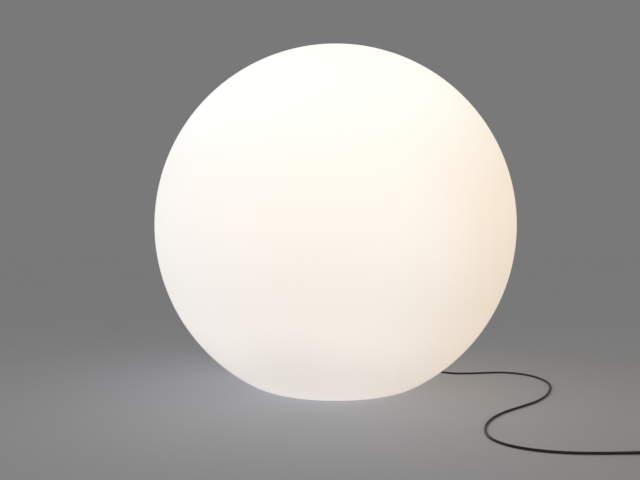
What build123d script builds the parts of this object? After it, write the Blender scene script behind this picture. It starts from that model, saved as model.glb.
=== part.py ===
from build123d import *

import os
from math import atan2, cos, degrees, pi, radians, sin, sqrt, tan

# Garden globe light, in millimetres. +Z is up, the origin is the middle of the flat
# underside on the ground, -Y is the front and the cord leaves at the back, +Y.

os.makedirs("parts", exist_ok=True)

# ---------------------------------------------------------------------------
# Driving dimensions
# ---------------------------------------------------------------------------

# Clearances
seat_gap = 0.05             # between round pieces that are fixed in one another
running_gap = 0.3           # between pieces that move past one another
hole_depth_gap = 1.0        # between a screw's end and the end of its hole

# Globe
globe_radius = 600.0
base_fillet = 180.0         # between the flat underside and the sphere
wall = 6.0                  # moulded wall
opening_radius = 80.0       # hand hole in the roof of the well
standing_width = 61.0       # ring that stands on the ground
well_height = 113.0         # from the ground to the roof of the well
well_taper = 10.0           # the well is wider at its mouth by this much
well_corner = 14.0
mouth_rounding = 8.0
groove_width = 24.0         # cord groove in the underside, at the back
groove_height = 18.0

# Base cover, its screws and its gasket
screw_inset = 20.0          # from the opening's edge to the screws
screw_count = 6
screw_radius = 2.45         # M5
screw_hole_radius = 2.9
screw_head_radius = 4.75
screw_head_height = 3.2
screw_grip = 9.0            # length in the insert
socket_flats = 3.0
socket_depth = 1.9
insert_radius = 4.0
insert_length = 12.0
insert_groove = 0.4
boss_radius = 10.0
boss_height = 22.0
cover_margin = 18.0         # from the screws to the cover's edge
cover_room = 22.0           # from the cover's edge to the side of the well
cover_thickness = 5.0
cover_rounding = 1.5
gasket_thickness = 3.0
gasket_margin = 2.0
register_gap = 1.0
register_wall = 4.0

# Cord and cable gland
cord_radius = 3.25
cord_rest = 3.3             # height of the cord's middle where it lies on the ground
gland_room = 6.0            # from the locknut to the cover's register ring
gland_thread_radius = 7.9   # M16
gland_thread_length = 10.0
gland_hole_gap = 0.3
gland_flats = 20.0
gland_flange = 5.0
gland_washer_thickness = 1.5
gland_washer_radius = 12.0
gland_cage_length = 9.5
gland_cage_wall = 1.4
gland_cage_step = 0.4       # from the thread in to the cage
gland_nut_room = 0.5        # from the flange to the nut
gland_nut_length = 16.0
gland_nut_wall = 3.0
gland_nut_end_wall = 4.0
locknut_flats = 22.0
locknut_height = 4.0
boot_length = 26.0
boot_top_radius = 7.0
boot_end_radius = 4.3
tail_rise = 16.0            # cord inside the lamp, above the cover

# Terminal block on the cover
block_room = 1.5            # from the block to the cover's register ring
block_length = 32.0
block_width = 18.0
block_height = 15.0
block_edge = 0.8
pole_pitch = 10.0
pole_height = 7.0           # above the cover
slit_width = 1.4
slit_depth = 5.0
sleeve_radius = 2.5
sleeve_bore = 1.5
sleeve_length = 14.0
clamp_screw_radius = 1.1
clamp_screw_pitch = 8.0
clamp_screw_sink = 2.0      # below the top of the block
clamp_slot_width = 0.5
clamp_slot_depth = 0.8
block_screw_radius = 1.4
block_screw_head = 2.6
block_screw_head_height = 2.0
block_slot_width = 0.7
block_slot_depth = 1.0
block_boss_radius = 4.0
block_boss_depth = 8.0

# Wires
core_radius = 1.2
core_spread = 1.5           # of the three cores where they leave the cord
core_bend = 4.0
core_rise = 10.0            # of the lowest core's bridge above the cord's end
core_rise_step = 4.0        # from one core's bridge to the next
core_reach = 20.0           # of the bridges in front of the gland
core_landing = 12.0         # from the block's back to where the cores level out
wire_end = 2.5              # from the block's middle to the end of each wire
wire_front = 10.0           # of the wires in front of the block
wire_lean = 8.0             # of the rising wires towards the column
wire_gap = 0.9              # between the two wires in the column
wire_rise = 14.0            # of the live wire above the entry, clear of the neutral one
wire_mouth = 10.0           # from the column to where the wires turn in
wire_fan = 1.5              # from the nipple to where the wires part
wire_fan_bend = 2.0
wire_lead = 2.5             # of straight wire below each terminal

# Column
foot_radius = 33.0
foot_thickness = 6.0
foot_collar_wall = 5.0
foot_collar_height = 26.0
foot_ledge = 2.0
foot_base_rounding = 0.6
foot_edge_rounding = 1.0
foot_collar_fillet = 3.0
foot_collar_rounding = 1.5
foot_screw_circle = 27.5
foot_screw_count = 3
foot_screw_angle = 30.0
foot_screw_radius = 2.1
foot_screw_head = 4.4
foot_screw_head_height = 2.8
foot_recess_width = 0.8
foot_recess_depth = 1.7
foot_screw_depth = 12.0
foot_boss_radius = 7.0
set_screw_radius = 2.5
set_screw_rise = 17.0       # above the cover
tube_radius = 15.0
tube_wall = 1.5
plug_flange = 3.0
plug_spigot = 12.0
plug_edge = 0.6
entry_rise = 40.0           # of the wire entry above the cover
entry_radius = 5.0
grommet_bore = 3.2
grommet_lip = 1.6
grommet_reach = 2.0         # inside the tube
earth_angle = 210.0
earth_screw_radius = 2.0
earth_screw_head = 3.8
earth_screw_head_height = 2.4
earth_head_rounding = 0.8
earth_slot_width = 0.9
earth_slot_depth = 1.1
earth_screw_room = 0.5      # from the earth screw's end to the underside of the foot
lug_thickness = 1.0
lug_margin = 0.6
lug_arm = 2.0
lug_lead = 4.0              # of the earth wire before the lug
lug_overlap = 2.0           # of the earth wire on the lug
earth_bends = [2.5, 1.5]

# Threaded nipple, M10, and its nuts
nipple_radius = 5.0
nipple_bore = 3.4
nipple_tail = 15.0
nipple_stand = 1.0          # above its upper nut
nut_height = 4.0
nut_flats = 14.0

# Lampholder
holder_radius = 22.5
holder_wall = 2.5
dome_floor = 2.5
dome_depth = 22.0           # from the underside of the dome to the core
dome_ledge = 3.0
dome_rim = 6.0              # of the dome above the ledge
dome_rounding = 5.0
core_thickness = 14.0
contact_rise = 4.0
contact_thickness = 0.8
contact_width = 6.0
contact_lean = 0.5          # of the strap's slope, so that it keeps its thickness
terminal_place = 9.0        # from the axis to each terminal
terminal_size = 7.0
terminal_depth = 8.0
terminal_width = 9.0
terminal_cap = 1.0          # of solid brass under the core
terminal_wire_gap = 0.2
terminal_screw_drop = 5.0   # from the core to the clamping screw
terminal_screw_head = 2.2
terminal_screw_head_height = 1.6
rivet_radius = 1.5
rivet_head = 2.4
rivet_head_height = 1.0
sleeve_flange_room = 1.0    # between the threaded sleeve's flange and the shell
shell_rounding = 2.0
lip_radius = 14.8
lip_height = 3.0
seal_thickness = 2.7
seal_radius = 19.0
seal_rounding = 0.6

# Screw cap and its socket, E27: a round thread of 7 turns to the inch
thread_pitch = 25.4 / 7
cap_crest = 13.15
cap_root = 12.05
socket_crest = 12.3
socket_root = 13.35
ridge_root_width = 2.1
ridge_crest_width = 1.1
ridge_sink = 0.15
socket_wall = 0.5
socket_height = 22.0
cap_turns = 3.5
socket_turns = 2.5

# Bulb, measured from its tip contact
cap_length = 27.0
cap_wall = 0.6
cap_start = 5.5
cap_collar = 3.0
cap_thread_start = 8.5
tip_radius = 4.8
tip_height = 1.8
tip_belly = (0.6, 0.25)     # a point of the tip's arc, as shares of radius and height
insulator_rim = 1.0         # of the insulator round the tip
housing_rim = 86.0
housing_wall = 1.8
housing_radius = 38.5
housing_neck = 14.5
housing_outer_bow = (-4.0, 2.0)     # of the housing's side from its middle
housing_inner_bow = (-7.0, 3.0)
board_height = 82.0
board_thickness = 1.6
board_hole = 2.2
chip_size = 3.0
chip_height = 0.8
chip_rings = [(0.36, 5), (0.74, 11)]    # share of the board's radius and count of chips
light_centre = 108.0
bulb_radius = 40.0
diffuser_wall = 1.5
diffuser_swell = 0.45
driver_thickness = 1.6
driver_foot_room = 1.0
driver_head_room = 6.0
driver_parts_drop = 12.0    # from the driver's top to the middle of its parts
coil_former_width = 12.0
coil_former_height = 14.0
coil_former_depth = 9.0
coil_former_shift = -2.0
capacitor_radius = 5.0
capacitor_length = 12.0

# Coil of stored cord, tie and plug
coil_x = 745.0
coil_y = -750.0
coil_middle = 34.0          # radius at the middle of the turns
coil_columns = 4            # of cord across the ring
coil_layers = 4
coil_turns = 12
coil_base = 2.0             # the coil lies on its tie
coil_corner = 2.9
tie_gap = 0.3
tie_thickness = 1.3
tie_angle = 205.0
tie_span = 22.0
plug_heading = -80.0
plug_run = 20.0             # of straight cord before the plug
plug_rest = 19.3            # height of the plug's axis
plug_radius = 19.0
plug_boot_length = 32.0
plug_boot_step = 1.0        # from the boot's thick end out to the plug's neck
rib_count = 4
rib_pitch = 6.0
rib_cut = 2.0
rib_growth = 0.5
plug_length = 46.0
plug_neck = 8.5
plug_neck_rounding = 2.5
plug_shoulder = 23.0        # from the neck to the full width
plug_shoulder_rounding = 40.0
plug_rim_rounding = 1.2
grip_start = 24.0
grip_count = 4
grip_pitch = 4.0
grip_depth = 0.8
grip_width = 1.8
face_depth = 3.0
face_inset = 2.2
face_sink = 0.4
pin_radius = 2.4
pin_length = 19.0
pin_pitch = 19.0
pin_rounding = 1.4
clip_width = 5.0
clip_thickness = 0.8
clip_length = 15.0
clip_sheet = 0.5            # thickness of the clip's strip in its slot
clip_hook = 3.0             # of the clip over the plug's rim
clip_slot_gap = 0.4

# ---------------------------------------------------------------------------
# Places that follow from them
# ---------------------------------------------------------------------------

screw_circle = opening_radius + screw_inset
cover_radius = screw_circle + cover_margin
well_top_radius = cover_radius + cover_room
well_mouth_radius = well_top_radius + well_taper
base_flat_radius = well_mouth_radius + standing_width
globe_centre = base_fillet + sqrt((globe_radius - base_fillet) ** 2 - base_flat_radius ** 2)
globe_top = globe_centre + globe_radius

cover_top = well_height - gasket_thickness
cover_bottom = cover_top - cover_thickness
register_radius = opening_radius - register_gap
register_bore = register_radius - register_wall

gland_offset = register_bore - gland_room - locknut_flats / 2    # behind the lamp's axis
gland_axis = Axis((0, gland_offset, 0), (0, 0, 1))
gland_section = Plane.XZ.offset(-gland_offset)
flange_top = cover_bottom - gland_washer_thickness
flange_bottom = flange_top - gland_flange
cage_radius = gland_thread_radius - gland_cage_step
cage_bore = cage_radius - gland_cage_wall
cage_bottom = flange_bottom - gland_cage_length
gland_nut_top = flange_bottom - gland_nut_room
gland_nut_bottom = gland_nut_top - gland_nut_length
boot_end = gland_nut_bottom - boot_length
tail_top = cover_top + tail_rise

block_x = block_room + block_length / 2 - register_bore
pole_z = cover_top + pole_height
pole_x = [block_x + pole_pitch * step for step in (-1, 0, 1)]

tip_z = globe_centre - light_centre
contact_top = tip_z - running_gap
core_top = contact_top - contact_rise
ledge_z = core_top - core_thickness
dome_bottom = ledge_z - dome_depth
column_top = dome_bottom - nut_height
tube_top = column_top - plug_flange
tube_bottom = cover_top + foot_ledge
tube_bore = tube_radius - tube_wall
entry_z = cover_top + entry_rise
nipple_top = dome_bottom + dome_floor + nut_height + nipple_stand
housing_bottom = tip_z + cap_length
holder_rim = housing_bottom - 2 * running_gap - seal_thickness
cap_bore = cap_root - cap_wall
spigot_bore = cap_bore - housing_wall

cord_width = 2 * cord_radius
coil_half = coil_columns * cord_width / 2
coil_axis = Axis((coil_x, coil_y, 0), (0, 0, 1))
coil_section = Plane.XZ.offset(-coil_y)
coil_height = coil_layers * cord_width

# ---------------------------------------------------------------------------
# The cord's route, along the floor from the gland to the coil, and from the coil
# to the plug
# ---------------------------------------------------------------------------

cord_route = [
    (0, gland_offset, boot_end),
    (0, gland_offset, boot_end - 20),
    (0, 70, 15.3),
    (0, 90.8, cord_rest),
    (0, 138, cord_rest),
    (0.6, 210, cord_rest),
    (3.5, 286, cord_rest),
    (20, 331, cord_rest),
    (62, 356, cord_rest),
    (116, 348, cord_rest),
    (176, 318, cord_rest),
    (236, 286, cord_rest),
    (296, 251, cord_rest),
    (354, 213, cord_rest),
    (398, 182, cord_rest),
    (438, 151, cord_rest),
    (500, 149, cord_rest),
    (572, 162, cord_rest),
    (636, 169, cord_rest),
    (690, 146, cord_rest),
    (726, 100, cord_rest),
    (741, 36, cord_rest),
    (736, -30, cord_rest),
    (708, -104, cord_rest),
    (668, -180, cord_rest),
    (612, -252, cord_rest),
    (548, -308, cord_rest),
    (478, -366, cord_rest),
    (424, -428, cord_rest),
    (386, -496, cord_rest),
    (367, -566, cord_rest),
    (371, -618, cord_rest),
    (402, -664, cord_rest),
    (462, -696, cord_rest),
    (530, -709, cord_rest),
    (600, -710, cord_rest),
    (672, -707.5, 3.7),
    (728, -706.3, 5.1),
]

heading = (cos(radians(plug_heading)), sin(radians(plug_heading)), 0)
sideways = (-sin(radians(plug_heading)), cos(radians(plug_heading)), 0)
end_turn = Vector(791.6, -796, plug_rest)
plug_start = end_turn + Vector(*heading) * plug_run

end_route = [
    (788.7, -754, 24.7),
    (789.4, -774, 22.4),
    tuple(end_turn),
    tuple(plug_start),
]


def route_radii(route):
    """Bend radius at each corner of a route: as large as its two runs allow."""
    radii = []
    for before, corner, after in zip(route, route[1:], route[2:]):
        run_in = Vector(*corner) - Vector(*before)
        run_out = Vector(*after) - Vector(*corner)
        shorter = min(run_in.length, run_out.length)
        half_turn = radians(run_in.get_angle(run_out)) / 2
        radii.append(0.45 * shorter / tan(half_turn))
    return radii


def round_bar(route, radii, radius):
    """A round solid along straight runs that are joined by tangent arcs."""
    with BuildLine() as run:
        FilletPolyline(*route, radius=radii)
    with BuildSketch(Plane(origin=run.line @ 0, z_dir=run.line % 0)) as section:
        Circle(radius)
    sweep(sections=section.sketch, path=run.line)
    return sum(edge.length for edge in run.edges())


def hexagon(flats):
    """A hexagon given by the distance across its flats."""
    RegularPolygon(radius=flats / 2, side_count=6, major_radius=False)


def ring(outer, inner):
    """A flat ring."""
    Circle(outer)
    Circle(inner, mode=Mode.SUBTRACT)


# ---------------------------------------------------------------------------
# Globe
# ---------------------------------------------------------------------------


def globe_section(inset):
    """Half section of the globe's space, with its surface drawn in by inset."""
    lean = well_taper / well_height
    side = well_mouth_radius + inset * sqrt(1 + lean ** 2)
    roof = well_height + inset
    slope = degrees(atan2(base_fillet - globe_centre, base_flat_radius))
    with BuildLine() as outline:
        FilletPolyline(
            (0, roof),
            (side - roof * lean, roof),
            (side - inset * lean, inset),
            (base_flat_radius, inset),
            radius=[well_corner + inset, max(mouth_rounding - inset, 1.0)],
        )
        CenterArc((base_flat_radius, base_fillet), base_fillet - inset, -90, 90 + slope)
        CenterArc((0, globe_centre), globe_radius - inset, slope, 90 - slope)
        Line((0, globe_top - inset), (0, roof))
    make_face(outline.edges())


def groove_section(inset):
    """Section of the cord groove, round at the top and open at the ground."""
    half = groove_width / 2 + inset
    spring = groove_height - groove_width / 2
    with BuildLine() as outline:
        Polyline((half, spring), (half, -wall), (-half, -wall), (-half, spring))
        CenterArc((0, spring), half, 0, 180)
    make_face(outline.edges())


groove_start = well_top_radius - wall
groove_length = base_flat_radius + base_fillet / 2 - groove_start

with BuildPart() as globe_void:
    with BuildSketch(Plane.XZ):
        globe_section(wall)
    revolve(axis=Axis.Z)
    with BuildSketch(Plane.XZ.offset(-groove_start)):
        groove_section(wall)
    extrude(amount=-groove_length, mode=Mode.SUBTRACT)

with BuildPart() as globe_shell:
    with BuildSketch(Plane.XZ):
        globe_section(0)
    revolve(axis=Axis.Z)
    add(globe_void.part, mode=Mode.SUBTRACT)
    with BuildSketch(Plane.XZ.offset(-groove_start)):
        groove_section(0)
    extrude(amount=-groove_length, mode=Mode.SUBTRACT)
    with BuildSketch(Plane.XY.offset(well_height - wall)):
        Circle(opening_radius)
    extrude(amount=3 * wall, mode=Mode.SUBTRACT)
    with BuildSketch(Plane.XY.offset(well_height + wall / 2)):
        with PolarLocations(screw_circle, screw_count):
            Circle(boss_radius)
    extrude(amount=boss_height - wall / 2)
    with BuildSketch(Plane.XY.offset(well_height)):
        with PolarLocations(screw_circle, screw_count):
            Circle(insert_radius)
    extrude(amount=insert_length + hole_depth_gap, mode=Mode.SUBTRACT)
globe_shell.part.label = "globe_shell"
export_step(globe_shell.part, "parts/globe_shell.step")

with BuildPart() as thread_inserts:
    with BuildSketch(Plane.XY.offset(well_height)):
        with PolarLocations(screw_circle, screw_count):
            ring(insert_radius - seat_gap, screw_radius + seat_gap)
    extrude(amount=insert_length)
    with BuildSketch(Plane.XY.offset(well_height + insert_length / 3)):
        with PolarLocations(screw_circle, screw_count):
            ring(insert_radius, insert_radius - insert_groove)
    extrude(amount=insert_length / 3, mode=Mode.SUBTRACT)
thread_inserts.part.label = "thread_inserts"
export_step(thread_inserts.part, "parts/thread_inserts.step")

# ---------------------------------------------------------------------------
# Base cover
# ---------------------------------------------------------------------------

block_screw_x = [block_x - pole_pitch / 2, block_x + pole_pitch / 2]

with BuildPart() as base_cover:
    with BuildSketch(Plane.XY.offset(cover_bottom)):
        Circle(cover_radius)
    extrude(amount=cover_thickness)
    fillet(base_cover.edges().filter_by(GeomType.CIRCLE), cover_rounding)
    with BuildSketch(Plane.XY.offset(cover_top)):
        ring(register_radius, register_bore)
    extrude(amount=gasket_thickness + wall)
    with BuildSketch(Plane.XY.offset(cover_bottom)):
        with PolarLocations(foot_screw_circle, foot_screw_count, start_angle=foot_screw_angle):
            Circle(foot_boss_radius)
    extrude(amount=-foot_screw_depth)
    with BuildSketch(Plane.XY.offset(cover_bottom)):
        with Locations(*[(x, 0) for x in block_screw_x]):
            Circle(block_boss_radius)
    extrude(amount=-block_boss_depth)
    with BuildSketch(Plane.XY.offset(cover_bottom)):
        with PolarLocations(screw_circle, screw_count):
            Circle(screw_hole_radius)
        with Locations((0, gland_offset)):
            Circle(gland_thread_radius + gland_hole_gap)
    extrude(amount=cover_thickness, mode=Mode.SUBTRACT)
    with BuildSketch(Plane.XY.offset(cover_top)):
        with PolarLocations(foot_screw_circle, foot_screw_count, start_angle=foot_screw_angle):
            Circle(foot_screw_radius + seat_gap)
    extrude(amount=-foot_screw_depth, mode=Mode.SUBTRACT)
    with BuildSketch(Plane.XY.offset(cover_top)):
        with Locations(*[(x, 0) for x in block_screw_x]):
            Circle(block_screw_radius + seat_gap)
    extrude(amount=-block_boss_depth, mode=Mode.SUBTRACT)
base_cover.part.label = "base_cover"
export_step(base_cover.part, "parts/base_cover.step")

with BuildPart() as cover_gasket:
    with BuildSketch(Plane.XY.offset(cover_top)):
        ring(cover_radius - gasket_margin, opening_radius + gasket_margin)
        with PolarLocations(screw_circle, screw_count):
            Circle(screw_hole_radius, mode=Mode.SUBTRACT)
    extrude(amount=gasket_thickness)
cover_gasket.part.label = "cover_gasket"
export_step(cover_gasket.part, "parts/cover_gasket.step")

with BuildPart() as cover_screws:
    with BuildSketch(Plane.XY.offset(cover_bottom - screw_head_height)):
        with PolarLocations(screw_circle, screw_count):
            Circle(screw_head_radius)
    extrude(amount=screw_head_height)
    fillet(cover_screws.faces().group_by(Axis.Z)[0].edges(), screw_head_height / 3)
    with BuildSketch(Plane.XY.offset(cover_bottom)):
        with PolarLocations(screw_circle, screw_count):
            Circle(screw_radius)
    extrude(amount=cover_thickness + gasket_thickness + screw_grip)
    with BuildSketch(Plane.XY.offset(cover_bottom - screw_head_height)):
        with PolarLocations(screw_circle, screw_count):
            hexagon(socket_flats)
    extrude(amount=socket_depth, mode=Mode.SUBTRACT)
cover_screws.part.label = "cover_screws"
export_step(cover_screws.part, "parts/cover_screws.step")

# ---------------------------------------------------------------------------
# Cable gland and the end of the cord inside the lamp
# ---------------------------------------------------------------------------

with BuildPart() as gland_washer:
    with BuildSketch(Plane((0, gland_offset, flange_top))):
        ring(gland_washer_radius, gland_thread_radius + seat_gap)
    extrude(amount=gland_washer_thickness)
gland_washer.part.label = "gland_washer"
export_step(gland_washer.part, "parts/gland_washer.step")

with BuildPart() as gland_body:
    with BuildSketch(Plane((0, gland_offset, flange_bottom))):
        hexagon(gland_flats)
    extrude(amount=gland_flange)
    with BuildSketch(Plane((0, gland_offset, flange_top))):
        Circle(gland_thread_radius)
    extrude(amount=gland_washer_thickness + cover_thickness + gland_thread_length)
    with BuildSketch(Plane((0, gland_offset, flange_bottom))):
        Circle(cage_radius)
    extrude(amount=-gland_cage_length)
    with BuildSketch(Plane((0, gland_offset, cage_bottom))):
        Circle(cage_bore)
    extrude(amount=gland_cage_length, mode=Mode.SUBTRACT)
    with BuildSketch(Plane((0, gland_offset, flange_bottom))):
        Circle(cord_radius + running_gap)
    extrude(amount=tail_top - flange_bottom, mode=Mode.SUBTRACT)
gland_body.part.label = "gland_body"
export_step(gland_body.part, "parts/gland_body.step")

with BuildPart() as gland_seal:
    with BuildSketch(Plane((0, gland_offset, cage_bottom))):
        ring(cage_bore - seat_gap, cord_radius + seat_gap)
    extrude(amount=gland_cage_length)
gland_seal.part.label = "gland_seal"
export_step(gland_seal.part, "parts/gland_seal.step")

nut_cup = cage_bottom - seat_gap
gland_nut_radius = cage_radius + seat_gap + gland_nut_wall

with BuildPart() as gland_nut:
    with BuildSketch(gland_section):
        with BuildLine():
            Polyline(
                (cord_radius + running_gap, gland_nut_bottom),
                (cord_radius + running_gap, nut_cup),
                (cage_radius + seat_gap, nut_cup),
                (cage_radius + seat_gap, gland_nut_top),
                (gland_nut_radius, gland_nut_top),
                (gland_nut_radius, nut_cup),
                (cord_radius + gland_nut_end_wall, gland_nut_bottom),
                close=True,
            )
        make_face()
    revolve(axis=gland_axis)
gland_nut.part.label = "gland_nut"
export_step(gland_nut.part, "parts/gland_nut.step")

with BuildPart() as gland_locknut:
    with BuildSketch(Plane((0, gland_offset, cover_top))):
        hexagon(locknut_flats)
        Circle(gland_thread_radius + seat_gap, mode=Mode.SUBTRACT)
    extrude(amount=locknut_height)
gland_locknut.part.label = "gland_locknut"
export_step(gland_locknut.part, "parts/gland_locknut.step")

with BuildPart() as gland_boot:
    with BuildSketch(gland_section):
        with BuildLine():
            Polyline(
                (cord_radius + seat_gap, boot_end),
                (cord_radius + seat_gap, gland_nut_bottom),
                (boot_top_radius, gland_nut_bottom),
                (boot_top_radius, gland_nut_bottom - boot_length / 6),
                (boot_end_radius, boot_end),
                close=True,
            )
        make_face()
    revolve(axis=gland_axis)
gland_boot.part.label = "gland_boot"
export_step(gland_boot.part, "parts/gland_boot.step")

with BuildPart() as cord_tail:
    with BuildSketch(Plane((0, gland_offset, boot_end))):
        Circle(cord_radius)
    extrude(amount=tail_top - boot_end)
cord_tail.part.label = "cord_tail"
export_step(cord_tail.part, "parts/cord_tail.step")

# ---------------------------------------------------------------------------
# Terminal block
# ---------------------------------------------------------------------------

clamp_places = [(x, side * clamp_screw_pitch / 2) for x in pole_x for side in (-1, 1)]
block_top = cover_top + block_height
sleeve_plane = Plane.XZ.offset(-sleeve_length / 2)

with BuildPart() as terminal_block:
    with BuildSketch(Plane((block_x, 0, cover_top))):
        Rectangle(block_length, block_width)
    extrude(amount=block_height)
    chamfer(terminal_block.faces().sort_by(Axis.Z)[-1].edges(), block_edge)
    with BuildSketch(Plane.XY.offset(block_top)):
        with Locations(*[(x, 0) for x in block_screw_x]):
            Rectangle(slit_width, block_width)
            Circle(block_screw_head + seat_gap)
    extrude(amount=-slit_depth, mode=Mode.SUBTRACT)
    with BuildSketch(Plane.XZ.offset(-block_width / 2)):
        with Locations(*[(x, pole_z) for x in pole_x]):
            Circle(sleeve_radius + seat_gap)
    extrude(amount=block_width, mode=Mode.SUBTRACT)
    with BuildSketch(Plane.XY.offset(block_top)):
        with Locations(*clamp_places):
            Circle(clamp_screw_radius + running_gap)
    extrude(amount=-(block_height - pole_height), mode=Mode.SUBTRACT)
    with BuildSketch(Plane.XY.offset(cover_top)):
        with Locations(*[(x, 0) for x in block_screw_x]):
            Circle(block_screw_radius + seat_gap)
    extrude(amount=block_height, mode=Mode.SUBTRACT)
terminal_block.part.label = "terminal_block"
export_step(terminal_block.part, "parts/terminal_block.step")

with BuildPart() as terminal_sleeves:
    with BuildSketch(sleeve_plane):
        with Locations(*[(x, pole_z) for x in pole_x]):
            ring(sleeve_radius, sleeve_bore)
    extrude(amount=sleeve_length)
    with BuildSketch(Plane.XY.offset(pole_z)):
        with Locations(*clamp_places):
            Circle(clamp_screw_radius + seat_gap)
    extrude(amount=sleeve_radius, mode=Mode.SUBTRACT)
terminal_sleeves.part.label = "terminal_sleeves"
export_step(terminal_sleeves.part, "parts/terminal_sleeves.step")

clamp_screw_foot = pole_z + core_radius + seat_gap
clamp_screw_top = block_top - clamp_screw_sink

with BuildPart() as terminal_screws:
    with BuildSketch(Plane.XY.offset(clamp_screw_foot)):
        with Locations(*clamp_places):
            Circle(clamp_screw_radius)
    extrude(amount=clamp_screw_top - clamp_screw_foot)
    with BuildSketch(Plane.XY.offset(clamp_screw_top)):
        with Locations(*clamp_places):
            Rectangle(3 * clamp_screw_radius, clamp_slot_width)
    extrude(amount=-clamp_slot_depth, mode=Mode.SUBTRACT)
terminal_screws.part.label = "terminal_screws"
export_step(terminal_screws.part, "parts/terminal_screws.step")

with BuildPart() as block_screws:
    with BuildSketch(Plane.XY.offset(block_top - slit_depth)):
        with Locations(*[(x, 0) for x in block_screw_x]):
            Circle(block_screw_head)
    extrude(amount=block_screw_head_height)
    with BuildSketch(Plane.XY.offset(block_top - slit_depth)):
        with Locations(*[(x, 0) for x in block_screw_x]):
            Circle(block_screw_radius)
    extrude(amount=-(block_height - slit_depth + block_boss_depth - hole_depth_gap))
    with BuildSketch(Plane.XY.offset(block_top - slit_depth + block_screw_head_height)):
        with Locations(*[(x, 0) for x in block_screw_x]):
            Rectangle(2 * block_screw_head, block_slot_width)
    extrude(amount=-block_slot_depth, mode=Mode.SUBTRACT)
block_screws.part.label = "block_screws"
export_step(block_screws.part, "parts/block_screws.step")

# ---------------------------------------------------------------------------
# Column
# ---------------------------------------------------------------------------

earth_x = foot_screw_circle * cos(radians(earth_angle))
earth_y = foot_screw_circle * sin(radians(earth_angle))
foot_top = cover_top + foot_thickness
collar_radius = tube_radius + seat_gap + foot_collar_wall
collar_top = cover_top + foot_collar_height
set_screw_plane = Plane(
    (0, -collar_radius, cover_top + set_screw_rise), x_dir=(1, 0, 0), z_dir=(0, -1, 0)
)

with BuildPart() as column_foot:
    with BuildSketch(Plane.XZ):
        with BuildLine():
            FilletPolyline(
                (0, cover_top),
                (foot_radius, cover_top),
                (foot_radius, foot_top),
                (collar_radius, foot_top),
                (collar_radius, collar_top),
                (0, collar_top),
                radius=[
                    foot_base_rounding,
                    foot_edge_rounding,
                    foot_collar_fillet,
                    foot_collar_rounding,
                ],
            )
            Line((0, collar_top), (0, cover_top))
        make_face()
    revolve(axis=Axis.Z)
    with BuildSketch(Plane.XY.offset(tube_bottom)):
        Circle(tube_radius + seat_gap)
    extrude(amount=collar_top - tube_bottom, mode=Mode.SUBTRACT)
    with BuildSketch(Plane.XY.offset(cover_top)):
        with PolarLocations(foot_screw_circle, foot_screw_count, start_angle=foot_screw_angle):
            Circle(foot_screw_radius + running_gap)
        with Locations((earth_x, earth_y)):
            Circle(earth_screw_radius + seat_gap)
    extrude(amount=foot_thickness, mode=Mode.SUBTRACT)
    with BuildSketch(set_screw_plane):
        Circle(set_screw_radius + seat_gap)
    extrude(amount=-foot_collar_wall - hole_depth_gap, mode=Mode.SUBTRACT)
column_foot.part.label = "column_foot"
export_step(column_foot.part, "parts/column_foot.step")

with BuildPart() as foot_screws:
    with BuildSketch(Plane.XY.offset(foot_top)):
        with PolarLocations(foot_screw_circle, foot_screw_count, start_angle=foot_screw_angle):
            Circle(foot_screw_head)
    extrude(amount=foot_screw_head_height)
    fillet(foot_screws.faces().group_by(Axis.Z)[-1].edges(), foot_screw_head_height / 3)
    with BuildSketch(Plane.XY.offset(foot_top)):
        with PolarLocations(foot_screw_circle, foot_screw_count, start_angle=foot_screw_angle):
            Circle(foot_screw_radius)
    extrude(amount=-(foot_thickness + foot_screw_depth - hole_depth_gap))
    with BuildSketch(Plane.XY.offset(foot_top + foot_screw_head_height)):
        with PolarLocations(foot_screw_circle, foot_screw_count, start_angle=foot_screw_angle):
            Rectangle(foot_screw_head, foot_recess_width)
            Rectangle(foot_recess_width, foot_screw_head)
    extrude(amount=-foot_recess_depth, mode=Mode.SUBTRACT)
foot_screws.part.label = "foot_screws"
export_step(foot_screws.part, "parts/foot_screws.step")

with BuildPart() as foot_set_screw:
    with BuildSketch(set_screw_plane):
        Circle(set_screw_radius)
    extrude(amount=-foot_collar_wall)
    with BuildSketch(set_screw_plane):
        hexagon(set_screw_radius)
    extrude(amount=-foot_collar_wall / 2, mode=Mode.SUBTRACT)
foot_set_screw.part.label = "foot_set_screw"
export_step(foot_set_screw.part, "parts/foot_set_screw.step")

entry_plane = Plane((-tube_radius - 1, 0, entry_z), x_dir=(0, 1, 0), z_dir=(-1, 0, 0))

with BuildPart() as column_tube:
    with BuildSketch(Plane.XY.offset(tube_bottom)):
        ring(tube_radius, tube_bore)
    extrude(amount=tube_top - tube_bottom)
    with BuildSketch(entry_plane):
        Circle(entry_radius)
    extrude(amount=-tube_radius, mode=Mode.SUBTRACT)
column_tube.part.label = "column_tube"
export_step(column_tube.part, "parts/column_tube.step")

grommet_inner = tube_bore - grommet_reach

with BuildPart() as wire_grommet:
    with BuildSketch(Plane.XZ):
        with BuildLine():
            Polyline(
                (-tube_radius - grommet_lip, entry_z + grommet_bore),
                (-tube_radius - grommet_lip, entry_z + entry_radius + grommet_lip),
                (-tube_radius - seat_gap, entry_z + entry_radius + grommet_lip),
                (-tube_radius - seat_gap, entry_z + entry_radius - seat_gap),
                (-grommet_inner, entry_z + entry_radius - seat_gap),
                (-grommet_inner, entry_z + entry_radius + grommet_lip / 2),
                (-grommet_inner + grommet_lip, entry_z + entry_radius),
                (-grommet_inner + grommet_lip, entry_z + grommet_bore),
                close=True,
            )
        make_face()
    revolve(axis=Axis((0, 0, entry_z), (1, 0, 0)))
wire_grommet.part.label = "wire_grommet"
export_step(wire_grommet.part, "parts/wire_grommet.step")

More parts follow.
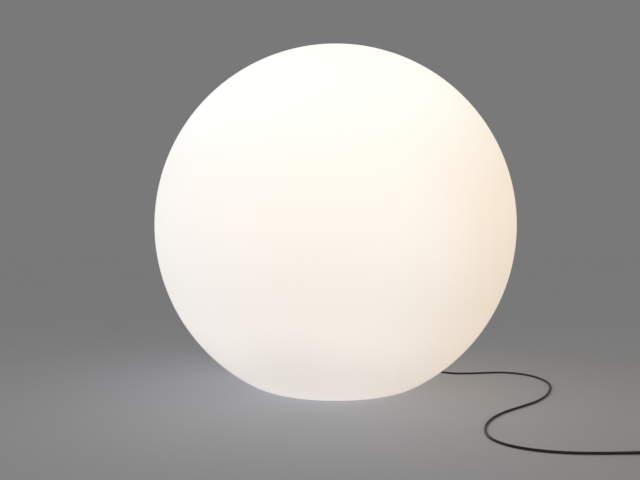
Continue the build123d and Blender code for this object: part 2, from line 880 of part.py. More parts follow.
with BuildPart() as column_plug:
    with BuildSketch(Plane.XY.offset(tube_top)):
        Circle(tube_radius)
    extrude(amount=plug_flange)
    chamfer(column_plug.faces().sort_by(Axis.Z)[-1].edges(), plug_edge)
    with BuildSketch(Plane.XY.offset(tube_top)):
        Circle(tube_bore - seat_gap)
    extrude(amount=-plug_spigot)
    with BuildSketch(Plane.XY.offset(tube_top - plug_spigot)):
        Circle(nipple_radius + seat_gap)
    extrude(amount=plug_spigot + plug_flange, mode=Mode.SUBTRACT)
column_plug.part.label = "column_plug"
export_step(column_plug.part, "parts/column_plug.step")

with BuildPart() as nipple:
    with BuildSketch(Plane.XY.offset(column_top - nipple_tail)):
        ring(nipple_radius, nipple_bore)
    extrude(amount=nipple_top - column_top + nipple_tail)
nipple.part.label = "nipple"
export_step(nipple.part, "parts/nipple.step")

with BuildPart() as nipple_nuts:
    for nut_z in (column_top, dome_bottom + dome_floor):
        with BuildSketch(Plane.XY.offset(nut_z)):
            hexagon(nut_flats)
            Circle(nipple_radius + seat_gap, mode=Mode.SUBTRACT)
        extrude(amount=nut_height)
nipple_nuts.part.label = "nipple_nuts"
export_step(nipple_nuts.part, "parts/nipple_nuts.step")

# ---------------------------------------------------------------------------
# Earth connection on the column's foot
# ---------------------------------------------------------------------------

with BuildPart() as earth_lug:
    with BuildSketch(Plane((earth_x, earth_y, foot_top))):
        Circle(earth_screw_head + lug_margin)
        with Locations((-earth_screw_head - lug_arm, 0)):
            Rectangle(2 * earth_screw_head, 2 * core_radius)
        Circle(earth_screw_radius + seat_gap, mode=Mode.SUBTRACT)
    extrude(amount=lug_thickness)
earth_lug.part.label = "earth_lug"
export_step(earth_lug.part, "parts/earth_lug.step")

lug_top = foot_top + lug_thickness

with BuildPart() as earth_screw:
    with BuildSketch(Plane((earth_x, earth_y, lug_top))):
        Circle(earth_screw_head)
    extrude(amount=earth_screw_head_height)
    fillet(earth_screw.faces().sort_by(Axis.Z)[-1].edges(), earth_head_rounding)
    with BuildSketch(Plane((earth_x, earth_y, lug_top))):
        Circle(earth_screw_radius)
    extrude(amount=-(lug_thickness + foot_thickness - earth_screw_room))
    with BuildSketch(Plane((earth_x, earth_y, lug_top + earth_screw_head_height))):
        Rectangle(2 * earth_screw_head, earth_slot_width)
    extrude(amount=-earth_slot_depth, mode=Mode.SUBTRACT)
earth_screw.part.label = "earth_screw"
export_step(earth_screw.part, "parts/earth_screw.step")

# ---------------------------------------------------------------------------
# Wires: three cores from the cord to the block, two wires on to the lampholder and
# one to the earth lug
# ---------------------------------------------------------------------------

live_x, neutral_x, earth_pole_x = pole_x
block_back = block_width / 2
live_angle, neutral_angle, earth_core_angle = 210, 90, 330


def cord_core(angle, x, place):
    """One core from the cord's end, up and over into the back of the block."""
    start_x = core_spread * cos(radians(angle))
    start_y = gland_offset + core_spread * sin(radians(angle))
    bridge_z = tail_top + core_rise + core_rise_step * place
    points = [
        (start_x, start_y, tail_top),
        (start_x, start_y, bridge_z),
        (x, gland_offset - core_reach, bridge_z),
        (x, block_back + core_landing, pole_z),
        (x, wire_end, pole_z),
    ]
    round_bar(points, core_bend, core_radius)


def holder_wire(x, side, rise):
    """One wire from the front of the block, up the column to its terminal."""
    lane = side * (core_radius + wire_gap / 2)
    points = [
        (x, -wire_end, pole_z),
        (x, -block_back - wire_front, pole_z),
        (x + wire_lean, -block_back - wire_front, entry_z + rise),
        (-tube_radius - wire_mouth, lane, entry_z),
        (0, lane, entry_z),
        (0, lane, nipple_top + wire_fan),
        (side * terminal_place, 0, ledge_z - terminal_depth - wire_lead),
        (side * terminal_place, 0, ledge_z - terminal_depth / 2),
    ]
    round_bar(points, 4 * [core_bend] + 2 * [wire_fan_bend], core_radius)


with BuildPart() as live_wires:
    cord_core(live_angle, live_x, 0)
    holder_wire(live_x, 1, wire_rise)
live_wires.part.label = "live_wires"
export_step(live_wires.part, "parts/live_wires.step")

with BuildPart() as neutral_wires:
    cord_core(neutral_angle, neutral_x, 1)
    holder_wire(neutral_x, -1, 0)
neutral_wires.part.label = "neutral_wires"
export_step(neutral_wires.part, "parts/neutral_wires.step")

lug_x = earth_x - 2 * earth_screw_head

with BuildPart() as earth_wires:
    cord_core(earth_core_angle, earth_pole_x, 2)
    round_bar(
        [
            (earth_pole_x, -wire_end, pole_z),
            (earth_pole_x, earth_y, pole_z),
            (lug_x - lug_lead, earth_y, lug_top + core_radius),
            (lug_x + lug_overlap, earth_y, lug_top + core_radius),
        ],
        earth_bends,
        core_radius,
    )
earth_wires.part.label = "earth_wires"
export_step(earth_wires.part, "parts/earth_wires.step")

# ---------------------------------------------------------------------------
# Lampholder
# ---------------------------------------------------------------------------

core_hold = holder_radius - holder_wall
dome_bore = core_hold - dome_ledge
dome_top = ledge_z + dome_rim

with BuildPart() as holder_dome:
    with BuildSketch(Plane.XZ):
        with BuildLine():
            Polyline(
                (nipple_radius + seat_gap, dome_bottom),
                (holder_radius, dome_bottom),
                (holder_radius, dome_top),
                (core_hold, dome_top),
                (core_hold, ledge_z),
                (dome_bore, ledge_z),
                (dome_bore, dome_bottom + dome_floor),
                (nipple_radius + seat_gap, dome_bottom + dome_floor),
                close=True,
            )
        make_face()
    revolve(axis=Axis.Z)
    dome_edge = holder_dome.faces().sort_by(Axis.Z)[0].edges().sort_by(Edge.length)[-1]
    fillet(dome_edge, dome_rounding)
holder_dome.part.label = "holder_dome"
export_step(holder_dome.part, "parts/holder_dome.step")

with BuildPart() as holder_core:
    with BuildSketch(Plane.XY.offset(ledge_z)):
        Circle(core_hold - seat_gap)
        with Locations((terminal_place, 0), (-terminal_place, 0)):
            Circle(rivet_radius + seat_gap, mode=Mode.SUBTRACT)
    extrude(amount=core_thickness)
holder_core.part.label = "holder_core"
export_step(holder_core.part, "parts/holder_core.step")

with BuildPart() as holder_shell:
    with BuildSketch(Plane.XZ):
        with BuildLine():
            Polyline(
                (holder_radius, dome_top),
                (holder_radius, holder_rim),
                (lip_radius, holder_rim),
                (lip_radius, holder_rim - lip_height),
                (dome_bore, holder_rim - lip_height),
                (dome_bore, core_top + seat_gap),
                (core_hold, core_top + seat_gap),
                (core_hold, dome_top),
                close=True,
            )
        make_face()
    revolve(axis=Axis.Z)
    shell_edge = holder_shell.faces().sort_by(Axis.Z)[-1].edges().sort_by(Edge.length)[-1]
    fillet(shell_edge, shell_rounding)
holder_shell.part.label = "holder_shell"
export_step(holder_shell.part, "parts/holder_shell.step")

terminal_screw_z = ledge_z - terminal_screw_drop
terminal_screw_places = [(x, terminal_screw_z) for x in (terminal_place, -terminal_place)]

with BuildPart() as holder_terminals:
    with BuildSketch(Plane.XY.offset(ledge_z - terminal_depth)):
        with Locations((terminal_place, 0), (-terminal_place, 0)):
            Rectangle(terminal_size, terminal_width)
            Circle(core_radius + terminal_wire_gap, mode=Mode.SUBTRACT)
    extrude(amount=terminal_depth - terminal_cap)
    with BuildSketch(Plane.XY.offset(ledge_z - terminal_cap)):
        with Locations((terminal_place, 0), (-terminal_place, 0)):
            Rectangle(terminal_size, terminal_width)
    extrude(amount=terminal_cap)
    with BuildSketch(Plane.XZ.offset(terminal_width / 2)):
        with Locations(*terminal_screw_places):
            Circle(clamp_screw_radius + seat_gap)
    extrude(amount=-terminal_width / 2, mode=Mode.SUBTRACT)
holder_terminals.part.label = "holder_terminals"
export_step(holder_terminals.part, "parts/holder_terminals.step")

with BuildPart() as holder_screws:
    with BuildSketch(Plane.XZ.offset(core_radius + seat_gap)):
        with Locations(*terminal_screw_places):
            Circle(clamp_screw_radius)
    extrude(amount=terminal_width / 2 - core_radius - seat_gap)
    with BuildSketch(Plane.XZ.offset(terminal_width / 2)):
        with Locations(*terminal_screw_places):
            Circle(terminal_screw_head)
    extrude(amount=terminal_screw_head_height)
holder_screws.part.label = "holder_screws"
export_step(holder_screws.part, "parts/holder_screws.step")

with BuildPart() as holder_rivets:
    with BuildSketch(Plane.XY.offset(ledge_z)):
        with Locations((terminal_place, 0), (-terminal_place, 0)):
            Circle(rivet_radius)
    extrude(amount=core_thickness + contact_thickness)
    with BuildSketch(Plane.XY.offset(core_top + contact_thickness)):
        with Locations((terminal_place, 0), (-terminal_place, 0)):
            Circle(rivet_head)
    extrude(amount=rivet_head_height)
holder_rivets.part.label = "holder_rivets"
export_step(holder_rivets.part, "parts/holder_rivets.step")

strap_half = contact_width / 2
strap_end = -terminal_place - strap_half
strap_foot = -terminal_place + strap_half
strap_bend = -terminal_place + contact_width

with BuildPart() as holder_contact:
    with BuildSketch(Plane.XZ.offset(-contact_width / 2)):
        with BuildLine():
            Polyline(
                (strap_end, core_top),
                (strap_foot, core_top),
                (strap_bend, contact_top - contact_thickness),
                (strap_half, contact_top - contact_thickness),
                (strap_half, contact_top),
                (strap_bend - contact_lean, contact_top),
                (strap_foot - contact_lean, core_top + contact_thickness),
                (strap_end, core_top + contact_thickness),
                close=True,
            )
        make_face()
    extrude(amount=contact_width)
    with BuildSketch(Plane.XY.offset(core_top)):
        with Locations((-terminal_place, 0)):
            Circle(rivet_radius + seat_gap)
    extrude(amount=contact_thickness, mode=Mode.SUBTRACT)
holder_contact.part.label = "holder_contact"
export_step(holder_contact.part, "parts/holder_contact.step")


def thread_ridge(root, crest, sunk, start_z, turns):
    """A right-hand helical ridge that stands on the root radius."""
    crest_half = ridge_crest_width / 2
    flank = (ridge_root_width / 2 - crest_half) / abs(root - crest)
    sunk_half = crest_half + flank * abs(sunk - crest)
    with BuildLine() as helix:
        Helix(thread_pitch, turns * thread_pitch, root, center=(0, 0, start_z))
    with BuildSketch(Plane.XZ) as profile:
        with BuildLine():
            Polyline(
                (sunk, start_z - sunk_half),
                (crest, start_z - crest_half),
                (crest, start_z + crest_half),
                (sunk, start_z + sunk_half),
                close=True,
            )
        make_face()
    sweep(sections=profile.sketch, path=helix.line, is_frenet=True)


cap_thread_z = tip_z + cap_thread_start
tab_length = socket_root - terminal_place + rivet_head

with BuildPart() as holder_sleeve:
    with BuildSketch(Plane.XY.offset(core_top)):
        ring(dome_bore - sleeve_flange_room, socket_root)
        with Locations((socket_root + seat_gap - tab_length / 2, 0)):
            Rectangle(tab_length, contact_width)
        with Locations((terminal_place, 0)):
            Circle(rivet_radius + seat_gap, mode=Mode.SUBTRACT)
    extrude(amount=contact_thickness)
    with BuildSketch(Plane.XY.offset(core_top)):
        ring(socket_root + socket_wall, socket_root)
    extrude(amount=socket_height)
    thread_ridge(
        socket_root,
        socket_crest,
        socket_root + ridge_sink,
        cap_thread_z - thread_pitch / 2,
        socket_turns,
    )
holder_sleeve.part.label = "holder_sleeve"
export_step(holder_sleeve.part, "parts/holder_sleeve.step")

with BuildPart() as lamp_seal:
    with BuildSketch(Plane.XY.offset(holder_rim + running_gap)):
        ring(seal_radius, cap_crest + running_gap)
    extrude(amount=seal_thickness)
    fillet(lamp_seal.edges().filter_by(GeomType.CIRCLE), seal_rounding)
lamp_seal.part.label = "lamp_seal"
export_step(lamp_seal.part, "parts/lamp_seal.step")

# ---------------------------------------------------------------------------
# Bulb
# ---------------------------------------------------------------------------

with BuildPart() as bulb_tip:
    with BuildSketch(Plane.XZ):
        with BuildLine():
            ThreePointArc(
                (0, tip_z),
                (tip_radius * tip_belly[0], tip_z + tip_height * tip_belly[1]),
                (tip_radius, tip_z + tip_height),
            )
            Polyline((tip_radius, tip_z + tip_height), (0, tip_z + tip_height), (0, tip_z))
        make_face()
    revolve(axis=Axis.Z)
bulb_tip.part.label = "bulb_tip"
export_step(bulb_tip.part, "parts/bulb_tip.step")

with BuildPart() as bulb_insulator:
    with BuildSketch(Plane.XZ):
        with BuildLine():
            Polyline(
                (0, tip_z + tip_height),
                (tip_radius + insulator_rim, tip_z + tip_height),
                (cap_root - running_gap, tip_z + cap_start),
                (cap_bore - seat_gap, tip_z + cap_start),
                (cap_bore - seat_gap, tip_z + cap_thread_start),
                (0, tip_z + cap_thread_start),
                close=True,
            )
        make_face()
    revolve(axis=Axis.Z)
bulb_insulator.part.label = "bulb_insulator"
export_step(bulb_insulator.part, "parts/bulb_insulator.step")

with BuildPart() as bulb_cap:
    with BuildSketch(Plane.XY.offset(tip_z + cap_start)):
        ring(cap_root, cap_bore)
    extrude(amount=cap_length - cap_start)
    with BuildSketch(Plane.XY.offset(housing_bottom - cap_collar)):
        ring(cap_crest, cap_bore)
    extrude(amount=cap_collar)
    thread_ridge(cap_root, cap_crest, cap_root - ridge_sink, cap_thread_z, cap_turns)
bulb_cap.part.label = "bulb_cap"
export_step(bulb_cap.part, "parts/bulb_cap.step")

board_z = tip_z + board_height
rim_z = tip_z + housing_rim
spigot_z = tip_z + cap_length / 2
board_radius = housing_radius - housing_wall
side_middle = ((housing_neck + housing_radius) / 2, (housing_bottom + board_z) / 2)
outer_bow = (side_middle[0] + housing_outer_bow[0], side_middle[1] + housing_outer_bow[1])
inner_bow = (side_middle[0] + housing_inner_bow[0], side_middle[1] + housing_inner_bow[1])

with BuildPart() as bulb_housing:
    with BuildSketch(Plane.XZ):
        with BuildLine():
            Polyline(
                (spigot_bore, spigot_z),
                (cap_bore - seat_gap, spigot_z),
                (cap_bore - seat_gap, housing_bottom),
                (housing_neck, housing_bottom),
            )
            ThreePointArc(
                (housing_neck, housing_bottom),
                outer_bow,
                (housing_radius, board_z - housing_wall),
            )
            Polyline(
                (housing_radius, board_z - housing_wall),
                (housing_radius, rim_z),
                (board_radius, rim_z),
                (board_radius, board_z),
                (board_radius - 2 * housing_wall, board_z),
                (board_radius - 2 * housing_wall, board_z - housing_wall),
            )
            ThreePointArc(
                (board_radius - 2 * housing_wall, board_z - housing_wall),
                inner_bow,
                (spigot_bore, housing_bottom + housing_wall),
            )
            Line((spigot_bore, housing_bottom + housing_wall), (spigot_bore, spigot_z))
        make_face()
    revolve(axis=Axis.Z)
bulb_housing.part.label = "bulb_housing"
export_step(bulb_housing.part, "parts/bulb_housing.step")

board_top = board_z + board_thickness

with BuildPart() as bulb_board:
    with BuildSketch(Plane.XY.offset(board_z)):
        Circle(board_radius - seat_gap)
        Circle(board_hole, mode=Mode.SUBTRACT)
    extrude(amount=board_thickness)
bulb_board.part.label = "bulb_board"
export_step(bulb_board.part, "parts/bulb_board.step")

with BuildPart() as bulb_chips:
    with BuildSketch(Plane.XY.offset(board_top)):
        for share, count in chip_rings:
            with PolarLocations(board_radius * share, count):
                Rectangle(chip_size, chip_size)
    extrude(amount=chip_height)
bulb_chips.part.label = "bulb_chips"
export_step(bulb_chips.part, "parts/bulb_chips.step")

light_z = tip_z + light_centre
with BuildPart() as bulb_diffuser:
    with BuildSketch(Plane.XZ):
        with BuildLine():
            Polyline(
                (board_radius - seat_gap - diffuser_wall, board_top),
                (board_radius - seat_gap, board_top),
                (board_radius - seat_gap, rim_z),
                (housing_radius, rim_z),
            )
            ThreePointArc(
                (housing_radius, rim_z),
                ((housing_radius + bulb_radius) / 2 + diffuser_swell, (rim_z + light_z) / 2),
                (bulb_radius, light_z),
            )
            CenterArc((0, light_z), bulb_radius, 0, 90)
            Line((0, light_z + bulb_radius), (0, light_z + bulb_radius - diffuser_wall))
            CenterArc((0, light_z), bulb_radius - diffuser_wall, 0, 90)
            Line(
                (bulb_radius - diffuser_wall, light_z),
                (board_radius - seat_gap - diffuser_wall, board_top),
            )
        make_face()
    revolve(axis=Axis.Z)
bulb_diffuser.part.label = "bulb_diffuser"
export_step(bulb_diffuser.part, "parts/bulb_diffuser.step")

tongue_width = 2 * sqrt(spigot_bore ** 2 - driver_thickness ** 2 / 4) - 2 * seat_gap
driver_z = spigot_z + driver_foot_room
driver_top = board_z - driver_head_room
driver_parts_z = driver_top - driver_parts_drop

with BuildPart() as bulb_driver:
    with BuildSketch(Plane.XZ.offset(-driver_thickness / 2)):
        with Locations((0, (driver_z + driver_top) / 2)):
            Rectangle(tongue_width, driver_top - driver_z)
    extrude(amount=driver_thickness)
bulb_driver.part.label = "bulb_driver"
export_step(bulb_driver.part, "parts/bulb_driver.step")

with BuildPart() as driver_parts:
    with BuildSketch(Plane.XZ.offset(driver_thickness / 2)):
        with Locations((coil_former_shift, driver_parts_z)):
            Rectangle(coil_former_width, coil_former_height)
    extrude(amount=coil_former_depth)
    with BuildSketch(Plane.XZ.offset(-driver_thickness / 2)):
        with Locations((0, driver_parts_z)):
            Circle(capacitor_radius)
    extrude(amount=-capacitor_length)
driver_parts.part.label = "driver_parts"
export_step(driver_parts.part, "parts/driver_parts.step")

# ---------------------------------------------------------------------------
# Free cord, its coil and tie
# ---------------------------------------------------------------------------

cord_section = pi * cord_radius ** 2

with BuildPart() as cord_tube:
    tube_radii = route_radii(cord_route)
    tube_length = round_bar(cord_route, tube_radii, cord_radius)
cord_tube.part.label = "cord_tube"
export_step(cord_tube.part, "parts/cord_tube.step")
print("cord radii:", [round(radius) for radius in tube_radii])
print("cord length:", round(tube_length, 1))
print("volume over section times length:", cord_tube.part.volume / cord_section / tube_length)

with BuildPart() as cord_end:
    end_radii = route_radii(end_route)
    end_length = round_bar(end_route, end_radii, cord_radius)
cord_end.part.label = "cord_end"
export_step(cord_end.part, "parts/cord_end.step")
print("end radii:", [round(radius) for radius in end_radii])
print("volume over section times length:", cord_end.part.volume / cord_section / end_length)

with BuildPart() as cord_coil:
    with BuildSketch(coil_section):
        with Locations((coil_x + coil_middle, coil_base + coil_height / 2)):
            RectangleRounded(2 * coil_half, coil_height, coil_corner)
    revolve(axis=coil_axis)
cord_coil.part.label = "cord_coil"
export_step(cord_coil.part, "parts/cord_coil.step")

tie_plane = Plane(
    (coil_x, coil_y, 0),
    x_dir=(cos(radians(tie_angle)), sin(radians(tie_angle)), 0),
    z_dir=(sin(radians(tie_angle)), -cos(radians(tie_angle)), 0),
)
tie_outside = 2 * (tie_gap + tie_thickness)

with BuildPart() as coil_tie:
    with BuildSketch(tie_plane):
        with Locations((coil_middle, coil_base + coil_height / 2)):
            RectangleRounded(
                2 * coil_half + tie_outside, coil_height + tie_outside, coil_corner + tie_gap
            )
            RectangleRounded(
                2 * coil_half + 2 * tie_gap,
                coil_height + 2 * tie_gap,
                coil_corner - tie_gap,
                mode=Mode.SUBTRACT,
            )
    revolve(axis=coil_axis, revolution_arc=tie_span)
coil_tie.part.label = "coil_tie"
export_step(coil_tie.part, "parts/coil_tie.step")

# ---------------------------------------------------------------------------
# Plug
# ---------------------------------------------------------------------------

plug_axis = Axis(plug_start, heading)
plug_lengthwise = Plane(plug_start, x_dir=heading, z_dir=(0, 0, 1))
body_start = plug_boot_length
face_start = plug_boot_length + plug_length - face_depth
plug_front = plug_boot_length + plug_length


def across_plug(place):
    """A plane across the plug at a distance from the start of its boot."""
    return Plane(plug_start + Vector(*heading) * place, x_dir=sideways, z_dir=heading)


with BuildPart() as plug_boot:
    with BuildSketch(plug_lengthwise):
        with BuildLine():
            Polyline(
                (0, 0),
                (0, boot_end_radius),
                (plug_boot_length, plug_neck - plug_boot_step),
                (plug_boot_length, 0),
                close=True,
            )
        make_face()
    revolve(axis=plug_axis)
    for rib in range(rib_count):
        with BuildSketch(across_plug(rib_pitch * (rib + 1))):
            ring(plug_neck, boot_end_radius + rib_growth * rib)
        extrude(amount=rib_cut, mode=Mode.SUBTRACT)
plug_boot.part.label = "plug_boot"
export_step(plug_boot.part, "parts/plug_boot.step")

with BuildPart() as plug_body:
    with BuildSketch(plug_lengthwise):
        with BuildLine():
            FilletPolyline(
                (body_start, 0),
                (body_start, plug_neck),
                (body_start + plug_shoulder, plug_radius),
                (plug_front, plug_radius),
                (plug_front, 0),
                radius=[plug_neck_rounding, plug_shoulder_rounding, plug_rim_rounding],
            )
            Line((plug_front, 0), (body_start, 0))
        make_face()
    revolve(axis=plug_axis)
    with BuildSketch(across_plug(face_start)):
        Circle(plug_radius - face_inset)
    extrude(amount=face_depth, mode=Mode.SUBTRACT)
    with BuildSketch(across_plug(plug_front)):
        with Locations((0, plug_radius), (0, -plug_radius)):
            Rectangle(clip_width + clip_slot_gap, 3 * clip_thickness)
    extrude(amount=-clip_length, mode=Mode.SUBTRACT)
    for place in range(grip_count):
        with BuildSketch(across_plug(body_start + grip_start + grip_pitch * place)):
            with Locations((plug_radius, 0), (-plug_radius, 0)):
                Rectangle(2 * grip_depth, plug_radius)
        extrude(amount=grip_width, mode=Mode.SUBTRACT)
plug_body.part.label = "plug_body"
export_step(plug_body.part, "parts/plug_body.step")

with BuildPart() as plug_face:
    with BuildSketch(across_plug(face_start)):
        Circle(plug_radius - face_inset - seat_gap)
        with Locations((pin_pitch / 2, 0), (-pin_pitch / 2, 0)):
            Circle(pin_radius + seat_gap, mode=Mode.SUBTRACT)
    extrude(amount=face_depth - face_sink)
plug_face.part.label = "plug_face"
export_step(plug_face.part, "parts/plug_face.step")

with BuildPart() as plug_pins:
    with BuildSketch(across_plug(face_start)):
        with Locations((pin_pitch / 2, 0), (-pin_pitch / 2, 0)):
            Circle(pin_radius)
    extrude(amount=face_depth + pin_length)
    tips = plug_pins.edges().filter_by(GeomType.CIRCLE).group_by(Axis(plug_start, heading))[-1]
    fillet(tips, pin_rounding)
plug_pins.part.label = "plug_pins"
export_step(plug_pins.part, "parts/plug_pins.step")

clip_place = plug_radius - clip_thickness
hook_place = clip_place - clip_hook / 2

with BuildPart() as plug_earth_clips:
    with BuildSketch(across_plug(plug_front - clip_length)):
        with Locations((0, clip_place), (0, -clip_place)):
            Rectangle(clip_width, clip_sheet)
    extrude(amount=clip_length)
    with BuildSketch(across_plug(plug_front)):
        with Locations((0, hook_place), (0, -hook_place)):
            Rectangle(clip_width, clip_hook + clip_sheet)
    extrude(amount=clip_thickness)
plug_earth_clips.part.label = "plug_earth_clips"
export_step(plug_earth_clips.part, "parts/plug_earth_clips.step")

coil_length = 2 * pi * coil_middle * coil_turns
print("whole cord:", round(tube_length + coil_length + end_length))
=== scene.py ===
from math import atan2, cos, degrees, pi, radians, sin, sqrt

import bpy
from bpy.props import FloatProperty, FloatVectorProperty, IntProperty, PointerProperty
from mathutils import Matrix, Vector


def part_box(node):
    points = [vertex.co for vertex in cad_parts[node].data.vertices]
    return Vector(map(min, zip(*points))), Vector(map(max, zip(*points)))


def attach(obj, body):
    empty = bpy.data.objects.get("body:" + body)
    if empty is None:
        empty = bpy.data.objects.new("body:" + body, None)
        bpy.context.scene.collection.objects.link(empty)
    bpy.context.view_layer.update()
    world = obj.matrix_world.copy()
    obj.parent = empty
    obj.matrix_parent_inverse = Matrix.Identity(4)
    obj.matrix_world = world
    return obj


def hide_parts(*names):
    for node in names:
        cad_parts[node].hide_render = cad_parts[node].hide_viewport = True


bl_info = {
    "name": "Garden globe light",
    "version": (1, 0, 0),
    "blender": (4, 5, 0),
    "location": "View3D > Sidebar > Globe light",
    "description": "Dresses a garden globe light: globe, cord, lamp, column and plug",
    "category": "Object",
}

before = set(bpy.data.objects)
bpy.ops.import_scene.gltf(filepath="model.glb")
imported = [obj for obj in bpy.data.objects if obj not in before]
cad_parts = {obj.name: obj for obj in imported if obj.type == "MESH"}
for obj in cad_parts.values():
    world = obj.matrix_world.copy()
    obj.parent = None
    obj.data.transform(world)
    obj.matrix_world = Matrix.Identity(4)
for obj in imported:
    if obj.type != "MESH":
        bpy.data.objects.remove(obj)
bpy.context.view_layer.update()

TURN = 2 * pi

# --------------------
# The cord's route in metres
# --------------------

GLAND_BACK = 0.058          # from the lamp's axis back to the gland
CORD_REST = 0.0033          # height of the cord's middle where it lies on the floor

FLOOR_ROUTE = [
    (0.0, 0.0908),
    (0.0, 0.138),
    (0.0006, 0.210),
    (0.0035, 0.286),
    (0.020, 0.331),
    (0.062, 0.356),
    (0.116, 0.348),
    (0.176, 0.318),
    (0.236, 0.286),
    (0.296, 0.251),
    (0.354, 0.213),
    (0.398, 0.182),
    (0.438, 0.151),
    (0.500, 0.149),
    (0.572, 0.162),
    (0.636, 0.169),
    (0.690, 0.146),
    (0.726, 0.100),
    (0.741, 0.036),
    (0.736, -0.030),
    (0.708, -0.104),
    (0.668, -0.180),
    (0.612, -0.252),
    (0.548, -0.308),
    (0.478, -0.366),
    (0.424, -0.428),
    (0.386, -0.496),
    (0.367, -0.566),
    (0.371, -0.618),
    (0.402, -0.664),
    (0.462, -0.696),
    (0.530, -0.709),
    (0.600, -0.710),
]

# From the sleeve under the globe to the coil
ROUTE = [
    (0.0, GLAND_BACK, 0.056),
    (0.0, GLAND_BACK, 0.036),
    (0.0, 0.070, 0.0153),
    *((x, y, CORD_REST) for x, y in FLOOR_ROUTE),
    (0.672, -0.7075, 0.0037),
    (0.728, -0.7063, 0.0051),
]

END_TURN = (0.7916, -0.796, 0.0193)
PLUG_HEADING = radians(-80)
PLUG_RUN = 0.020            # straight cord before the plug
PLUG_START = (
    END_TURN[0] + PLUG_RUN * cos(PLUG_HEADING),
    END_TURN[1] + PLUG_RUN * sin(PLUG_HEADING),
    END_TURN[2],
)
END_ROUTE = [(0.7894, -0.774, 0.0224), END_TURN, PLUG_START]

COIL_CENTRE = (0.745, -0.750)
COIL_TURNS_PER_LAYER = 3
COIL_LAYERS = 4
COIL_CLIMB = 0.25           # share of a turn in which the cord climbs to the next layer
POINTS_PER_TURN = 16
MIDDLE_WEIGHT = 0.75        # of the nearest control point in a curve of order 3


# --------------------
# What a user would change
# --------------------


class GlobeSizes(bpy.types.PropertyGroup):
    """Sizes of the globe's shell"""

    radius: FloatProperty(
        name="Globe radius", description="Radius of the sphere", default=0.6, unit="LENGTH",
    )
    fillet: FloatProperty(
        name="Base fillet", description="Radius between the flat underside and the sphere",
        default=0.18, unit="LENGTH",
    )
    flat_radius: FloatProperty(
        name="Flat underside", description="Radius where the flat underside ends",
        default=0.211, unit="LENGTH",
    )
    wall: FloatProperty(
        name="Wall", description="Thickness of the moulded wall", default=0.006, unit="LENGTH",
    )
    well_mouth: FloatProperty(
        name="Well mouth", description="Radius of the well's mouth", default=0.15, unit="LENGTH",
    )
    well_top: FloatProperty(
        name="Well top", description="Radius of the well's roof", default=0.14, unit="LENGTH",
    )
    well_height: FloatProperty(
        name="Well height", description="Height of the well's roof", default=0.113,
        unit="LENGTH",
    )
    opening: FloatProperty(
        name="Opening", description="Radius of the opening in the roof", default=0.08,
        unit="LENGTH",
    )
    segments: IntProperty(
        name="Segments", description="Faces round the globe", default=192, min=32,
    )


class CordSizes(bpy.types.PropertyGroup):
    """Sizes of the cord and its coil"""

    diameter: FloatProperty(
        name="Diameter", description="Thickness of the cord", default=0.0065, unit="LENGTH",
    )
    length: FloatProperty(
        name="Length", description="Whole length of the cord", default=5.0, unit="LENGTH",
    )
    coil_outer: FloatProperty(
        name="Outer turn", description="Radius of the coil's outer turn", default=0.04375,
        unit="LENGTH",
    )
    coil_base: FloatProperty(
        name="Lowest turn", description="Height of the lowest turn's middle", default=0.00525,
        unit="LENGTH",
    )


class Finishes(bpy.types.PropertyGroup):
    """Colours of the globe and its glow with painted light and shade, the cord and the floor"""

    # The glow's colours across the globe carry painted light and shade: whiter on the left in
    # painted light, creamier on the right in painted shade.
    glow_painted_light_left: FloatVectorProperty(
        name="Glow, left", description="Colour of the glow on the left", subtype="COLOR",
        default=(0.965, 0.978, 0.99), min=0, max=1,
    )
    glow_painted_light_middle: FloatVectorProperty(
        name="Glow, middle", description="Colour of the glow in the middle", subtype="COLOR",
        default=(0.98, 0.95, 0.90), min=0, max=1,
    )
    glow_painted_shade_right: FloatVectorProperty(
        name="Glow, right", description="Colour of the glow on the right", subtype="COLOR",
        default=(0.90, 0.765, 0.61), min=0, max=1,
    )
    # Painted shade and light in the glow: these shares darken it towards the foot and keep it
    # lightest at the crown.
    glow_painted_shade_foot: FloatVectorProperty(
        name="Glow, foot", description="Share of each colour that is left at the foot",
        subtype="COLOR", default=(0.66, 0.635, 0.62), min=0, max=1,
    )
    glow_painted_shade_low: FloatVectorProperty(
        name="Glow, low", description="Share of each colour that is left low down",
        subtype="COLOR", default=(0.87, 0.837, 0.817), min=0, max=1,
    )
    glow_painted_shade_waist: FloatVectorProperty(
        name="Glow, waist", description="Share of each colour that is left halfway up",
        subtype="COLOR", default=(0.975, 0.9375, 0.915), min=0, max=1,
    )
    glow_painted_light_crown: FloatVectorProperty(
        name="Glow, crown", description="Share of each colour that is left at the top",
        subtype="COLOR", default=(0.97, 1.0, 1.0), min=0, max=1,
    )
    glow_strength: FloatProperty(
        name="Glow strength", description="How bright the globe shines", default=0.76, min=0,
    )
    plastic: FloatVectorProperty(
        name="Globe plastic", description="Colour of the unlit plastic", subtype="COLOR",
        default=(0.86, 0.83, 0.79), min=0, max=1,
    )
    rubber: FloatVectorProperty(
        name="Cord rubber", description="Colour of the cord", subtype="COLOR",
        default=(0.012, 0.012, 0.0135), min=0, max=1,
    )
    floor: FloatVectorProperty(
        name="Floor", description="Colour of the floor", subtype="COLOR",
        default=(0.535, 0.56, 0.62), min=0, max=1,
    )


